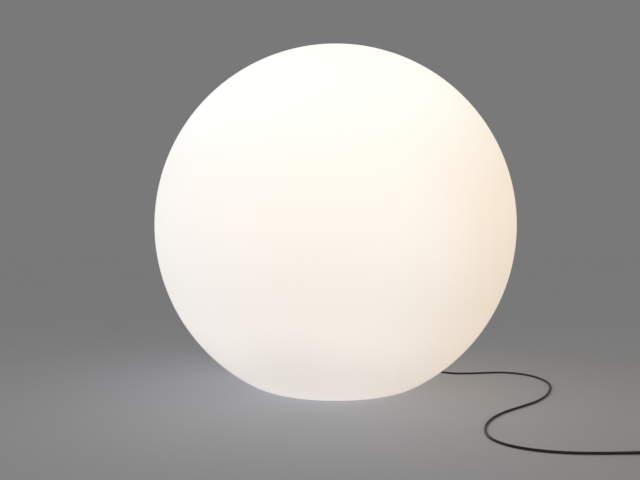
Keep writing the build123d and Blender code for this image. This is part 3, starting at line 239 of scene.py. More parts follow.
class StageSizes(bpy.types.PropertyGroup):
    """Camera, floor and light"""

    camera_place: FloatVectorProperty(
        name="Camera", description="Place of the camera", subtype="TRANSLATION",
        default=(-0.0496, -2.0764, 0.474),
    )
    lens: FloatProperty(
        name="Lens", description="Focal length in millimetres", default=33.75,
    )
    shift: FloatProperty(
        name="Shift", description="Upward shift of the picture", default=0.0102,
    )
    floor_size: FloatProperty(
        name="Floor size", description="Width of the floor", default=80.0, unit="LENGTH",
    )
    backdrop: FloatProperty(
        name="Backdrop", description="Brightness of the backdrop", default=0.191, min=0,
    )
    light_turn: FloatVectorProperty(
        name="Light's direction", description="Turn of the soft light from straight down",
        subtype="EULER", default=(radians(38), 0.0, 0.0),
    )
    light_strength: FloatProperty(
        name="Light's strength", description="Strength of the soft light", default=0.66, min=0,
    )
    light_color: FloatVectorProperty(
        name="Light's colour", description="Colour of the soft light", subtype="COLOR",
        default=(1.0, 0.904, 0.705), min=0, max=1,
    )
    light_spread: FloatProperty(
        name="Light's spread", description="Width of the soft light as an angle",
        subtype="ANGLE", default=radians(100), min=0,
    )


# --------------------
# Modelling helpers
# --------------------

SPECK = 0.01                # size of the plane that is merged to a line's first point
ROD_SIDES = 32


def deselect():
    """Leave edit mode and select nothing."""
    if bpy.context.object is not None and bpy.context.object.mode != "OBJECT":
        bpy.ops.object.mode_set(mode="OBJECT")
    bpy.ops.object.select_all(action="DESELECT")


def only(piece):
    """Select one piece and make it the active one."""
    deselect()
    piece.select_set(True)
    bpy.context.view_layer.objects.active = piece


def settle(piece, place):
    """Put a piece at its place and move that place into its mesh."""
    only(piece)
    piece.matrix_world = place @ piece.matrix_world
    bpy.ops.object.transform_apply(location=True, rotation=True, scale=True)


def tidy(piece, gap=1e-6):
    """Close seams and poles and point the faces outwards."""
    only(piece)
    bpy.ops.object.mode_set(mode="EDIT")
    bpy.ops.mesh.select_all(action="SELECT")
    bpy.ops.mesh.remove_doubles(threshold=gap)
    bpy.ops.mesh.dissolve_degenerate(threshold=gap)
    bpy.ops.mesh.normals_make_consistent(inside=False)
    bpy.ops.object.mode_set(mode="OBJECT")


def smooth(piece, angle=35):
    """Smooth shading that keeps edges sharper than an angle in degrees."""
    only(piece)
    bpy.ops.object.shade_smooth_by_angle(angle=radians(angle))


def bevel(piece, width, segments=2, limit=40):
    """Round every edge that is sharper than a limit in degrees."""
    only(piece)
    modifier = piece.modifiers.new("Bevel", "BEVEL")
    modifier.width = width
    modifier.segments = segments
    modifier.limit_method = "ANGLE"
    modifier.angle_limit = radians(limit)
    bpy.ops.object.modifier_apply(modifier=modifier.name)


def carve(piece, tool, operation="DIFFERENCE"):
    """Apply a boolean with a tool piece and remove the tool."""
    only(piece)
    modifier = piece.modifiers.new("Boolean", "BOOLEAN")
    modifier.operation = operation
    modifier.solver = "EXACT"
    modifier.object = tool
    bpy.ops.object.modifier_apply(modifier=modifier.name)
    bpy.data.objects.remove(tool)


def draw_line(name, points, y=0.0):
    """Start a piece as a line through (x, z) points, all selected in edit mode."""
    deselect()
    first = points[0]
    bpy.ops.mesh.primitive_plane_add(size=SPECK, location=(first[0], y, first[1]))
    piece = bpy.context.object
    piece.name = name
    bpy.ops.object.transform_apply(location=True)
    bpy.ops.object.mode_set(mode="EDIT")
    bpy.ops.mesh.select_all(action="SELECT")
    bpy.ops.mesh.merge(type="CENTER")
    for before, after in zip(points, points[1:]):
        step = (after[0] - before[0], 0, after[1] - before[1])
        bpy.ops.mesh.extrude_vertices_move(TRANSFORM_OT_translate={"value": step})
    bpy.ops.mesh.select_all(action="SELECT")
    return piece


def lathe(name, profile, steps):
    """A turned piece about its own Z axis from a line of (radius, height) points."""
    piece = draw_line(name, profile)
    bpy.ops.mesh.spin(steps=steps, angle=TURN, center=(0, 0, 0), axis=(0, 0, 1))
    bpy.ops.object.mode_set(mode="OBJECT")
    tidy(piece)
    return piece


def block(name, low, high):
    """A box between two corners."""
    deselect()
    size = [b - a for a, b in zip(low, high)]
    middle = [(a + b) / 2 for a, b in zip(low, high)]
    bpy.ops.mesh.primitive_cube_add(size=1, location=middle)
    piece = bpy.context.object
    piece.name = name
    piece.scale = size
    bpy.ops.object.transform_apply(location=True, rotation=True, scale=True)
    return piece


def rod(name, radius, place, low, high):
    """A round bar at an (x, y) place, between two heights."""
    deselect()
    bpy.ops.mesh.primitive_cylinder_add(
        vertices=ROD_SIDES, radius=radius, depth=high - low, location=(*place, (low + high) / 2)
    )
    piece = bpy.context.object
    piece.name = name
    bpy.ops.object.transform_apply(location=True)
    return piece


def unite(name, pieces):
    """Join several pieces into one object."""
    deselect()
    for piece in pieces:
        piece.select_set(True)
    bpy.context.view_layer.objects.active = pieces[0]
    bpy.ops.object.join()
    joined = bpy.context.object
    joined.name = name
    return joined


def arc(centre, radius, start, end, steps):
    """Points on an arc in a (radius, height) section, from start to end in degrees."""
    return [
        (
            centre[0] + radius * cos(radians(start + (end - start) * step / steps)),
            centre[1] + radius * sin(radians(start + (end - start) * step / steps)),
        )
        for step in range(steps + 1)
    ]


# --------------------
# Finishes
# --------------------

PATTERN_LOW = 0.3           # nearly all of a noise pattern lies between these values
PATTERN_HIGH = 0.7
SMOOTHEST = 0.02            # least roughness of a worn finish

# How the globe's glow is painted with light and shade by the place on it: painted light on
# the left and at the top, painted shade on the right and low down. Reaches are in metres
# from the sphere's middle, and stops are shares of a reach.
PAINTED_LIGHT_ACROSS = (-1.0, 0.0, 0.25)     # to the left and a little up
ACROSS_REACH = (-0.6, 0.6)
MIDDLE_STOP = 0.45
PAINTED_SHADE_UPWARD = (0.0, 0.12, 1.0)      # up and a little to the back
UPWARD_REACH = (-0.55, 0.35)
LOW_STOP = 0.25
WAIST_STOP = 0.61
CLOUD = 0.03                # how far soft clouds move these places


class Finish:
    """A procedural material that is built up node by node."""

    def __init__(self, name, color, roughness, metallic=0.0):
        self.material = bpy.data.materials.new(name)
        self.material.use_nodes = True
        self.nodes = self.material.node_tree.nodes
        self.links = self.material.node_tree.links
        self.shader = self.nodes["Principled BSDF"]
        self.color = (*color, 1)
        self.shader.inputs["Base Color"].default_value = self.color
        self.shader.inputs["Roughness"].default_value = roughness
        self.shader.inputs["Metallic"].default_value = metallic
        self.roughness = roughness
        self.place = self.nodes.new("ShaderNodeTexCoord").outputs["Object"]
        self.normal = None

    def noise(self, scale, detail=3.0, stretch=(1, 1, 1)):
        """A noise pattern in the piece's own space; scale in features a metre."""
        mapping = self.nodes.new("ShaderNodeMapping")
        mapping.inputs["Scale"].default_value = stretch
        texture = self.nodes.new("ShaderNodeTexNoise")
        texture.inputs["Scale"].default_value = scale
        texture.inputs["Detail"].default_value = detail
        self.links.new(self.place, mapping.inputs["Vector"])
        self.links.new(mapping.outputs["Vector"], texture.inputs["Vector"])
        return texture.outputs["Fac"]

    def spread(self, factor, low, high, start=PATTERN_LOW, end=PATTERN_HIGH):
        """Map a pattern's values between start and end to the range from low to high."""
        ranged = self.nodes.new("ShaderNodeMapRange")
        ranged.inputs["From Min"].default_value = start
        ranged.inputs["From Max"].default_value = end
        ranged.inputs["To Min"].default_value = low
        ranged.inputs["To Max"].default_value = high
        self.links.new(factor, ranged.inputs["Value"])
        return ranged.outputs["Result"]

    def ramp(self, factor, *stops):
        """Turn a factor into colours, given as (place, colour) stops."""
        ramp = self.nodes.new("ShaderNodeValToRGB")
        ramp.color_ramp.interpolation = "EASE"
        elements = ramp.color_ramp.elements
        for place, _ in stops[1:-1]:
            elements.new(place)
        for element, (place, color) in zip(elements, stops):
            element.position = place
            element.color = (*color, 1)
        self.links.new(factor, ramp.inputs["Fac"])
        return ramp.outputs["Color"]

    def along(self, axis, height, change):
        """How far a point lies along an axis through a centre at a height, plus a change."""
        centre = self.nodes.new("ShaderNodeMapping")
        centre.inputs["Location"].default_value = (0, 0, -height)
        self.links.new(self.place, centre.inputs["Vector"])
        product = self.nodes.new("ShaderNodeVectorMath")
        product.operation = "DOT_PRODUCT"
        product.inputs[1].default_value = axis
        self.links.new(centre.outputs["Vector"], product.inputs[0])
        total = self.nodes.new("ShaderNodeMath")
        total.operation = "ADD"
        self.links.new(product.outputs["Value"], total.inputs[0])
        self.links.new(change, total.inputs[1])
        return total.outputs["Value"]

    def mottle(self, factor, shade):
        """Darken the colour towards a share of itself by a pattern."""
        color = self.color[:3]
        darker = [c * shade for c in color]
        mottled = self.ramp(factor, (PATTERN_LOW, darker), (PATTERN_HIGH, color))
        self.links.new(mottled, self.shader.inputs["Base Color"])

    def wear(self, factor, change):
        """Vary the roughness by a pattern."""
        low, high = self.roughness - change, self.roughness + change
        value = self.spread(factor, max(low, SMOOTHEST), min(high, 1))
        self.links.new(value, self.shader.inputs["Roughness"])

    def relief(self, factor, strength, distance):
        """Raise the surface a little by a pattern, over any relief that it has."""
        bump = self.nodes.new("ShaderNodeBump")
        bump.inputs["Strength"].default_value = strength
        bump.inputs["Distance"].default_value = distance
        self.links.new(factor, bump.inputs["Height"])
        if self.normal is not None:
            self.links.new(self.normal, bump.inputs["Normal"])
        self.normal = bump.outputs["Normal"]
        self.links.new(self.normal, self.shader.inputs["Normal"])

    def dress(self, *pieces):
        """Give the material to pieces."""
        for piece in pieces:
            piece.data.materials.clear()
            piece.data.materials.append(self.material)


def moulded(name, color, roughness, grain=1400.0, depth=0.00004, shade=0.93):
    """Moulded plastic with a fine grain."""
    finish = Finish(name, color, roughness)
    finish.mottle(finish.noise(scale=60), shade)
    finish.wear(finish.noise(scale=180), change=0.06)
    finish.relief(finish.noise(scale=grain), strength=0.3, distance=depth)
    return finish


def metal(name, color, roughness, stretch=(1, 1, 1)):
    """Turned or drawn metal with fine tool marks, drawn out where the pattern is stretched."""
    finish = Finish(name, color, roughness, metallic=1.0)
    finish.mottle(finish.noise(scale=220), shade=0.85)
    finish.wear(finish.noise(scale=500, stretch=stretch), change=0.1)
    finish.relief(finish.noise(scale=900, stretch=stretch), strength=0.25, distance=0.00003)
    return finish


def rubber(name, color, roughness):
    """Dull rubber with a fine leathery grain and a dusting."""
    finish = Finish(name, color, roughness)
    finish.mottle(finish.noise(scale=90), shade=0.75)
    finish.wear(finish.noise(scale=260), change=0.1)
    finish.relief(finish.noise(scale=2200), strength=0.35, distance=0.00005)
    finish.shader.inputs["Sheen Weight"].default_value = 0.08
    return finish


def glowing_plastic_painted_light(finishes, centre_height):
    """
    White translucent plastic that glows, with painted light and shade in its glow: painted
    light makes it whiter on the left, and painted shade makes it creamier on the right and a
    little darker low down.
    """
    finish = Finish("globe_plastic", finishes.plastic, roughness=0.42)
    finish.wear(finish.noise(scale=24), change=0.05)
    finish.relief(finish.noise(scale=330, detail=2.0), strength=0.10, distance=0.0004)
    finish.relief(finish.noise(scale=6, detail=1.0), strength=0.05, distance=0.004)
    cloud = finish.spread(finish.noise(scale=2.3, detail=1.0), -CLOUD, CLOUD)
    across = finish.along(PAINTED_LIGHT_ACROSS, centre_height, cloud)
    upward = finish.along(PAINTED_SHADE_UPWARD, centre_height, cloud)
    # Painted light and shade in the glow: whiter towards the left, creamier towards the right.
    glow_with_painted_light = finish.ramp(
        finish.spread(across, 0.0, 1.0, *ACROSS_REACH),
        (0.0, finishes.glow_painted_shade_right),
        (MIDDLE_STOP, finishes.glow_painted_light_middle),
        (1.0, finishes.glow_painted_light_left),
    )
    # Painted shade: the glow darkens towards the foot and is lightest at the crown.
    shade = finish.ramp(
        finish.spread(upward, 0.0, 1.0, *UPWARD_REACH),
        (0.0, finishes.glow_painted_shade_foot),
        (LOW_STOP, finishes.glow_painted_shade_low),
        (WAIST_STOP, finishes.glow_painted_shade_waist),
        (1.0, finishes.glow_painted_light_crown),
    )
    product = finish.nodes.new("ShaderNodeVectorMath")
    product.operation = "MULTIPLY"
    finish.links.new(glow_with_painted_light, product.inputs[0])
    finish.links.new(shade, product.inputs[1])
    finish.links.new(product.outputs["Vector"], finish.shader.inputs["Emission Color"])
    finish.shader.inputs["Emission Strength"].default_value = finishes.glow_strength
    finish.shader.inputs["Specular IOR Level"].default_value = 0.25
    return finish


# --------------------
# Stage
# --------------------


SENSOR_WIDTH = 36           # millimetres


class GLOBE_OT_stage(bpy.types.Operator):
    """Add the camera, the floor and the studio light"""

    bl_idname = "globe_light.stage"
    bl_label = "Stage"

    def execute(self, context):
        sizes = context.scene.globe_stage
        finishes = context.scene.globe_finishes
        deselect()
        bpy.ops.object.camera_add(location=sizes.camera_place, rotation=(pi / 2, 0, 0))
        camera = context.object
        camera.name = "camera"
        camera.data.lens = sizes.lens
        camera.data.sensor_width = SENSOR_WIDTH
        camera.data.shift_y = sizes.shift
        context.scene.camera = camera

        deselect()
        bpy.ops.mesh.primitive_plane_add(size=sizes.floor_size, location=(0, 0, 0))
        floor = context.object
        floor.name = "floor"
        finish = Finish("floor_paint", finishes.floor, roughness=0.7)
        finish.mottle(finish.noise(scale=1.5), shade=0.985)
        finish.relief(finish.noise(scale=160), strength=0.05, distance=0.0005)
        finish.shader.inputs["Specular IOR Level"].default_value = 0.0
        finish.dress(floor)

        world = bpy.data.worlds.new("studio")
        context.scene.world = world
        world.use_nodes = True
        backdrop = world.node_tree.nodes["Background"]
        backdrop.inputs["Color"].default_value = (1, 1, 1, 1)
        backdrop.inputs["Strength"].default_value = sizes.backdrop

        deselect()
        bpy.ops.object.light_add(type="SUN", rotation=sizes.light_turn)
        light = context.object
        light.name = "soft_light"
        light.data.energy = sizes.light_strength
        light.data.color = sizes.light_color
        light.data.angle = sizes.light_spread
        context.scene.view_settings.view_transform = "Standard"
        return {"FINISHED"}


# --------------------
# Cord
# --------------------


def coil_points(sizes):
    """
    Control points of the coil's turns, from its entry at the back to its exit. The cord
    winds inwards over one layer and outwards over the next.
    """
    inward = COIL_TURNS_PER_LAYER * sizes.diameter
    # The curve passes inside its control points, so they stand out by this factor.
    stand_out = 1 / (MIDDLE_WEIGHT + (1 - MIDDLE_WEIGHT) * cos(TURN / POINTS_PER_TURN))
    points = []
    last = COIL_LAYERS * COIL_TURNS_PER_LAYER * POINTS_PER_TURN + POINTS_PER_TURN // 4
    for step in range(last + 1):
        turn = step / POINTS_PER_TURN
        layer = min(int(turn / COIL_TURNS_PER_LAYER), COIL_LAYERS - 1)
        share = min(turn / COIL_TURNS_PER_LAYER - layer, 1)
        depth = share if layer % 2 == 0 else 1 - share
        radius = (sizes.coil_outer - inward * depth) * stand_out
        rise = 0.0
        for change in range(1, COIL_LAYERS):
            climbed = (turn - change * COIL_TURNS_PER_LAYER) / COIL_CLIMB + 0.5
            rise += min(max(climbed, 0), 1)
        angle = pi / 2 - TURN * turn
        points.append(
            (
                COIL_CENTRE[0] + radius * cos(angle),
                COIL_CENTRE[1] + radius * sin(angle),
                sizes.coil_base + rise * sizes.diameter,
            )
        )
    return points


class GLOBE_OT_cord(bpy.types.Operator):
    """Lay the cord from its sleeve along the floor, round the coil and to the plug"""

    bl_idname = "globe_light.cord"
    bl_label = "Cord"

    def execute(self, context):
        sizes = context.scene.globe_cord
        finishes = context.scene.globe_finishes
        curve = bpy.data.curves.new("cord", "CURVE")
        curve.dimensions = "3D"
        curve.bevel_depth = sizes.diameter / 2
        curve.bevel_resolution = 5
        curve.resolution_u = 8
        curve.use_fill_caps = True
        spline = curve.splines.new("NURBS")
        points = ROUTE + coil_points(sizes) + END_ROUTE
        spline.points.add(len(points) - 1)
        for point, place in zip(spline.points, points):
            point.co = (*place, 1)
        spline.order_u = 3
        spline.use_endpoint_u = True
        cord = bpy.data.objects.new("cord", curve)
        context.collection.objects.link(cord)
        rubber("cord_rubber", finishes.rubber, roughness=0.42).dress(cord)
        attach(cord, "globe")
        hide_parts("cord_tube", "cord_coil", "cord_end")
        return {"FINISHED"}


class GLOBE_OT_coil_strap(bpy.types.Operator):
    """Wrap the strap that ties the coil"""

    bl_idname = "globe_light.coil_strap"
    bl_label = "Coil strap"

    def execute(self, context):
        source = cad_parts["coil_tie"]
        strap = source.copy()
        strap.data = source.data.copy()
        # The copy is a piece of its own, so it drops what marks a solid's node.
        for key in list(strap.keys()):
            del strap[key]
        context.collection.objects.link(strap)
        strap.parent = None
        strap.name = "coil_strap"
        tidy(strap, gap=1e-5)
        bevel(strap, width=0.00035)
        smooth(strap)
        finish = Finish("strap_weave", color=(0.03, 0.03, 0.033), roughness=0.85)
        finish.mottle(finish.noise(scale=900), shade=0.6)
        finish.relief(finish.noise(scale=2600), strength=0.6, distance=0.00015)
        finish.shader.inputs["Sheen Weight"].default_value = 0.3
        finish.dress(strap)
        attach(strap, "globe")
        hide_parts("coil_tie")
        return {"FINISHED"}


# --------------------
# Globe
# --------------------

MOUTH_ROUNDING = 0.008      # where the standing ring turns into the well
WELL_CORNER = 0.014         # where the well's wall turns into its roof
CORNER_SHIFT = 0.0004       # that sets the corner against the leaning wall
FILLET_STEPS = 16
ROUNDING_STEPS = 6

# Rings of edges that keep the flat stretches flat in smooth shading: how far they lie from
# the fillet, the mouth's rounding, the well's wall and the opening
RING_OUTER_EDGE = 0.02
RING_INNER_EDGE = 0.012
ROOF_OUTER_EDGE = 0.03
ROOF_INNER_EDGE = 0.004

GROOVE_WIDTH = 0.024        # cord groove in the underside, at the back
GROOVE_SPRING = 0.006       # height where its round top starts
GROOVE_END = 0.301          # behind the lamp's axis, where the fillet is above the groove
GROOVE_FOOT = -0.01         # below the ground, so that the cut is clean
GROOVE_STEPS = 24

SCREW_COUNT = 6
SCREW_INSET = 0.020         # from the opening's edge to the screws
BOSS_RADIUS = 0.010
BOSS_HEIGHT = 0.022         # above the well's roof
INSERT_RADIUS = 0.004
INSERT_HOLE_DEPTH = 0.013   # above the well's roof
INSERT_HOLE_START = 0.001   # below the well's roof, so that the cut is clean
GLOBE_SHARP_ANGLE = 32


def globe_centre(sizes):
    """Height of the sphere's middle, where the fillet meets both sphere and underside."""
    return sizes.fillet + sqrt((sizes.radius - sizes.fillet) ** 2 - sizes.flat_radius ** 2)


def underside_profile(sizes, slope):
    """
    Line of (radius, height) points from the sphere's lower edge to the opening: fillet,
    standing ring, the well's wall and its roof.
    """
    roof = sizes.well_height
    lean = (sizes.well_mouth - sizes.well_top) / roof
    side_turn = 90 - degrees(atan2(lean, 1))
    mouth = sizes.well_mouth + MOUTH_ROUNDING * (1 - lean)
    inner = sizes.well_mouth - roof * lean
    corner = inner - WELL_CORNER * (1 - lean) + CORNER_SHIFT

    fillet = arc(
        (sizes.flat_radius, sizes.fillet), sizes.fillet, degrees(slope), -90, FILLET_STEPS
    )
    profile = fillet[1:]
    profile += [(sizes.flat_radius - RING_OUTER_EDGE, 0.0), (mouth + RING_INNER_EDGE, 0.0)]
    profile += arc(
        (mouth, MOUTH_ROUNDING), MOUTH_ROUNDING, -90, -90 - side_turn, ROUNDING_STEPS
    )
    profile += arc(
        (corner, roof - WELL_CORNER), WELL_CORNER, 90 - side_turn, 90, ROUNDING_STEPS
    )
    profile += [
        (inner - ROOF_OUTER_EDGE, roof),
        (sizes.opening + ROOF_INNER_EDGE, roof),
        (sizes.opening, roof),
    ]
    return profile


def globe_sheet(sizes):
    """The globe's outer surface as one sheet: sphere, fillet, standing ring, well and roof."""
    centre = globe_centre(sizes)
    slope = atan2(sizes.fillet - centre, sizes.flat_radius)
    edge = (sizes.radius * cos(slope), centre + sizes.radius * sin(slope))
    deselect()
    bpy.ops.mesh.primitive_uv_sphere_add(
        segments=sizes.segments,
        ring_count=sizes.segments // 2,
        radius=sizes.radius,
        location=(0, 0, centre),
    )
    globe = bpy.context.object
    globe.name = "globe"
    bpy.ops.object.transform_apply(location=True)
    bpy.ops.object.mode_set(mode="EDIT")
    bpy.ops.mesh.select_all(action="SELECT")
    bpy.ops.mesh.bisect(plane_co=(0, 0, edge[1]), plane_no=(0, 0, 1), clear_inner=True)
    bpy.ops.mesh.select_all(action="DESELECT")
    bpy.ops.mesh.select_non_manifold()
    for radius, height in underside_profile(sizes, slope):
        scale = radius / edge[0]
        bpy.ops.mesh.extrude_edges_move(
            TRANSFORM_OT_translate={"value": (0, 0, height - edge[1])}
        )
        bpy.ops.transform.resize(value=(scale, scale, 1), center_override=(0, 0, height))
        edge = (radius, height)
    bpy.ops.object.mode_set(mode="OBJECT")
    return globe


def filled_copy(sheet):
    """A copy of a sheet whose open edge is filled, so that it is a closed form."""
    copy = sheet.copy()
    copy.data = sheet.data.copy()
    bpy.context.collection.objects.link(copy)
    only(copy)
    bpy.ops.object.mode_set(mode="EDIT")
    bpy.ops.mesh.select_all(action="DESELECT")
    bpy.ops.mesh.select_non_manifold()
    bpy.ops.mesh.edge_face_add()
    bpy.ops.object.mode_set(mode="OBJECT")
    return copy


def half_round_bar(name, half, low, start, end):
    """A bar along Y with a round top, for the cord groove and the wall round it."""
    top = arc((0, GROOVE_SPRING), half, 0, 180, GROOVE_STEPS)
    bar = draw_line(name, [(half, low)] + top + [(-half, low)], start)
    bpy.ops.mesh.edge_face_add()
    bpy.ops.mesh.select_all(action="SELECT")
    bpy.ops.mesh.extrude_region_move(TRANSFORM_OT_translate={"value": (0, end - start, 0)})
    bpy.ops.object.mode_set(mode="OBJECT")
    tidy(bar)
    return bar


def screw_bosses(sizes):
    """The bosses for the base cover's screws, and the holes for their inserts."""
    circle = sizes.opening + SCREW_INSET
    roof = sizes.well_height
    bosses, holes = [], []
    for screw in range(SCREW_COUNT):
        angle = TURN * screw / SCREW_COUNT
        place = (circle * cos(angle), circle * sin(angle))
        bosses.append(
            rod("boss", BOSS_RADIUS, place, roof + sizes.wall / 2, roof + BOSS_HEIGHT)
        )
        holes.append(
            rod("hole", INSERT_RADIUS, place, roof - INSERT_HOLE_START, roof + INSERT_HOLE_DEPTH)
        )
    return unite("bosses", bosses), unite("holes", holes)


class GLOBE_OT_globe(bpy.types.Operator):
    """Mould the globe: sphere, fillet, standing ring, well, cord groove and screw bosses"""

    bl_idname = "globe_light.globe"
    bl_label = "Globe"

    def execute(self, context):
        sizes = context.scene.globe_sizes
        globe = globe_sheet(sizes)
        tidy(globe)

        start = sizes.well_top - sizes.wall
        space = filled_copy(globe)
        lining = half_round_bar(
            "lining", GROOVE_WIDTH / 2 + sizes.wall, -sizes.wall, start, GROOVE_END
        )
        carve(lining, space, "INTERSECT")

        only(globe)
        wall = globe.modifiers.new("Wall", "SOLIDIFY")
        wall.thickness = sizes.wall
        wall.offset = -1
        wall.use_even_offset = True
        bpy.ops.object.modifier_apply(modifier=wall.name)
        carve(globe, lining, "UNION")

        bosses, holes = screw_bosses(sizes)
        carve(globe, bosses, "UNION")
        carve(globe, holes)
        groove = half_round_bar("groove", GROOVE_WIDTH / 2, GROOVE_FOOT, start, GROOVE_END)
        carve(globe, groove)
        tidy(globe)
        smooth(globe, GLOBE_SHARP_ANGLE)
        globe.name = "globe"
        glowing_plastic_painted_light(context.scene.globe_finishes, globe_centre(sizes)).dress(globe)
        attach(globe, "globe")
        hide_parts("globe_shell")
        return {"FINISHED"}


# --------------------
# Cord sleeves and plug
# --------------------

SLEEVE_THIN = 0.0043        # radius of a sleeve's thin end
SLEEVE_CHAMFER = 0.0004     # length of the chamfer there
SLEEVE_STEPS = 48
RING_END = 0.5              # shares of the pitch from one ring to the next
NOTCH_START = 0.6

GLAND_SLEEVE_BORE = 0.0033
GLAND_SLEEVE_TIP = 0.0041   # radius of its end face
GLAND_SLEEVE_ROOT = 0.0069
GLAND_SLEEVE_RINGS = 5
GLAND_RINGS_START = 0.06    # shares of the sleeve's length
GLAND_RINGS_SPAN = 0.76
GLAND_ROOT_SPAN = 0.16

PLUG_SLEEVE_LENGTH = 0.032
PLUG_SLEEVE_TIP = 0.0040
PLUG_SLEEVE_ROOT = 0.0074
PLUG_SLEEVE_RINGS = 6
PLUG_RINGS_START = 0.002
PLUG_RINGS_SPAN = 0.8       # shares of the sleeve's length
PLUG_ROOT_START = 0.9

PLUG_LENGTH = 0.046
PLUG_RADIUS = 0.019
PLUG_NECK = 0.0085          # radius where the body meets its sleeve
PLUG_NECK_ROUNDING = 0.0015
PLUG_RIM_ROUNDING = 0.0012
PLUG_RIM_START = 0.0015     # from the front back to the end of the straight side
PLUG_RIM_WIDTH = 0.0022     # of the body round the hard face
PLUG_FACE_DEPTH = 0.003
PLUG_STEPS = 72
PLUG_EDGE_ROUNDING = 0.0003
PLUG_SHOULDER = [           # radius and distance from the neck
    (0.0098, 0.004),
    (0.0122, 0.009),
    (0.0151, 0.0145),
    (0.0176, 0.0198),
    (0.0188, 0.0245),
    (PLUG_RADIUS, 0.029),
]

GRIP_COUNT = 4              # of grooves on each side
GRIP_START = 0.024
GRIP_PITCH = 0.004
GRIP_WIDTH = 0.0018
GRIP_DEPTH = 0.0009
CLIP_SLOT_WIDTH = 0.0054
CLIP_SLOT_DEPTH = 0.0012
CLIP_SLOT_LENGTH = 0.015
CLIP_SLOT_PAST = 0.001      # past the front, so that the cut is clean

PIN_RADIUS = 0.0024
PIN_LENGTH = 0.022          # from the back of the hard face
PIN_PITCH = 0.019
PIN_ROUNDING = 0.0013
PIN_STEPS = 32


def sleeve_rings(count, start, pitch, growth, lip, lip_rise, notch, notch_end):
    """
    Outline of a sleeve's rings, each wider than the last. A ring widens by its lip over the
    share lip_rise of the pitch, and the notch that parts it from the next ends at notch_end.
    """
    outline = []
    for ring in range(count):
        wide = SLEEVE_THIN + growth * ring / count
        foot = start + pitch * ring
        outline += [
            (wide, foot),
            (wide + lip, foot + lip_rise * pitch),
            (wide + lip, foot + RING_END * pitch),
            (wide - notch, foot + NOTCH_START * pitch),
            (wide - notch, foot + notch_end * pitch),
        ]
    return outline


class GLOBE_OT_sleeve(bpy.types.Operator):
    """Mould the tapered sleeve where the cord leaves its gland"""

    bl_idname = "globe_light.sleeve"
    bl_label = "Cord sleeve"

    def execute(self, context):
        finishes = context.scene.globe_finishes
        low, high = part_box("gland_boot")
        bottom, top = low.z, high.z
        length = top - bottom
        profile = [
            (GLAND_SLEEVE_BORE, bottom),
            (GLAND_SLEEVE_TIP, bottom),
            (SLEEVE_THIN, bottom + SLEEVE_CHAMFER),
        ]
        profile += sleeve_rings(
            count=GLAND_SLEEVE_RINGS,
            start=bottom + length * GLAND_RINGS_START,
            pitch=length * GLAND_RINGS_SPAN / GLAND_SLEEVE_RINGS,
            growth=0.0024, lip=0.0002, lip_rise=0.15, notch=0.0006, notch_end=0.9,
        )
        profile += [
            (GLAND_SLEEVE_ROOT, top - length * GLAND_ROOT_SPAN),
            (GLAND_SLEEVE_ROOT, top),
            (GLAND_SLEEVE_BORE, top),
            (GLAND_SLEEVE_BORE, bottom),
        ]
        sleeve = lathe("cord_sleeve", profile, SLEEVE_STEPS)
        settle(sleeve, Matrix.Translation((0, GLAND_BACK, 0)))
        smooth(sleeve)
        rubber("sleeve_rubber", finishes.rubber, roughness=0.5).dress(sleeve)
        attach(sleeve, "globe")
        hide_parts("gland_boot")
        return {"FINISHED"}


def plug_place(along):
    """The place and direction of a plug piece that is modelled upright about Z."""
    heading = Vector((cos(PLUG_HEADING), sin(PLUG_HEADING), 0))
    side = Vector((-sin(PLUG_HEADING), cos(PLUG_HEADING), 0))
    turn = Matrix((side, Vector((0, 0, 1)), heading)).transposed().to_4x4()
    return Matrix.Translation(Vector(PLUG_START) + heading * along) @ turn


def plug_sleeve():
    """The ringed sleeve where the cord enters the plug."""
    length = PLUG_SLEEVE_LENGTH
    profile = [(0.0, 0.0), (PLUG_SLEEVE_TIP, 0.0), (SLEEVE_THIN, SLEEVE_CHAMFER)]
    profile += sleeve_rings(
        count=PLUG_SLEEVE_RINGS,
        start=PLUG_RINGS_START,
        pitch=length * PLUG_RINGS_SPAN / PLUG_SLEEVE_RINGS,
        growth=0.0026, lip=0.0003, lip_rise=0.1, notch=0.0007, notch_end=0.92,
    )
    profile += [
        (PLUG_SLEEVE_ROOT, length * PLUG_ROOT_START), (PLUG_SLEEVE_ROOT, length), (0.0, length)
    ]
    sleeve = lathe("plug_sleeve", profile, SLEEVE_STEPS)
    settle(sleeve, plug_place(0))
    smooth(sleeve)
    return sleeve


def plug_cuts():
    """The grip grooves and the slots of the earth clips, as one tool."""
    cuts = []
    for side in (-1, 1):
        rim = side * PLUG_RADIUS
        for grip in range(GRIP_COUNT):
            foot = GRIP_START + GRIP_PITCH * grip
            cuts.append(
                block(
                    "cut",
                    (rim - GRIP_DEPTH, -PLUG_RADIUS / 2, foot),
                    (rim + GRIP_DEPTH, PLUG_RADIUS / 2, foot + GRIP_WIDTH),
                )
            )
        cuts.append(
            block(
                "cut",
                (-CLIP_SLOT_WIDTH / 2, rim - CLIP_SLOT_DEPTH, PLUG_LENGTH - CLIP_SLOT_LENGTH),
                (CLIP_SLOT_WIDTH / 2, rim + CLIP_SLOT_DEPTH, PLUG_LENGTH + CLIP_SLOT_PAST),
            )
        )
    return unite("cuts", cuts)


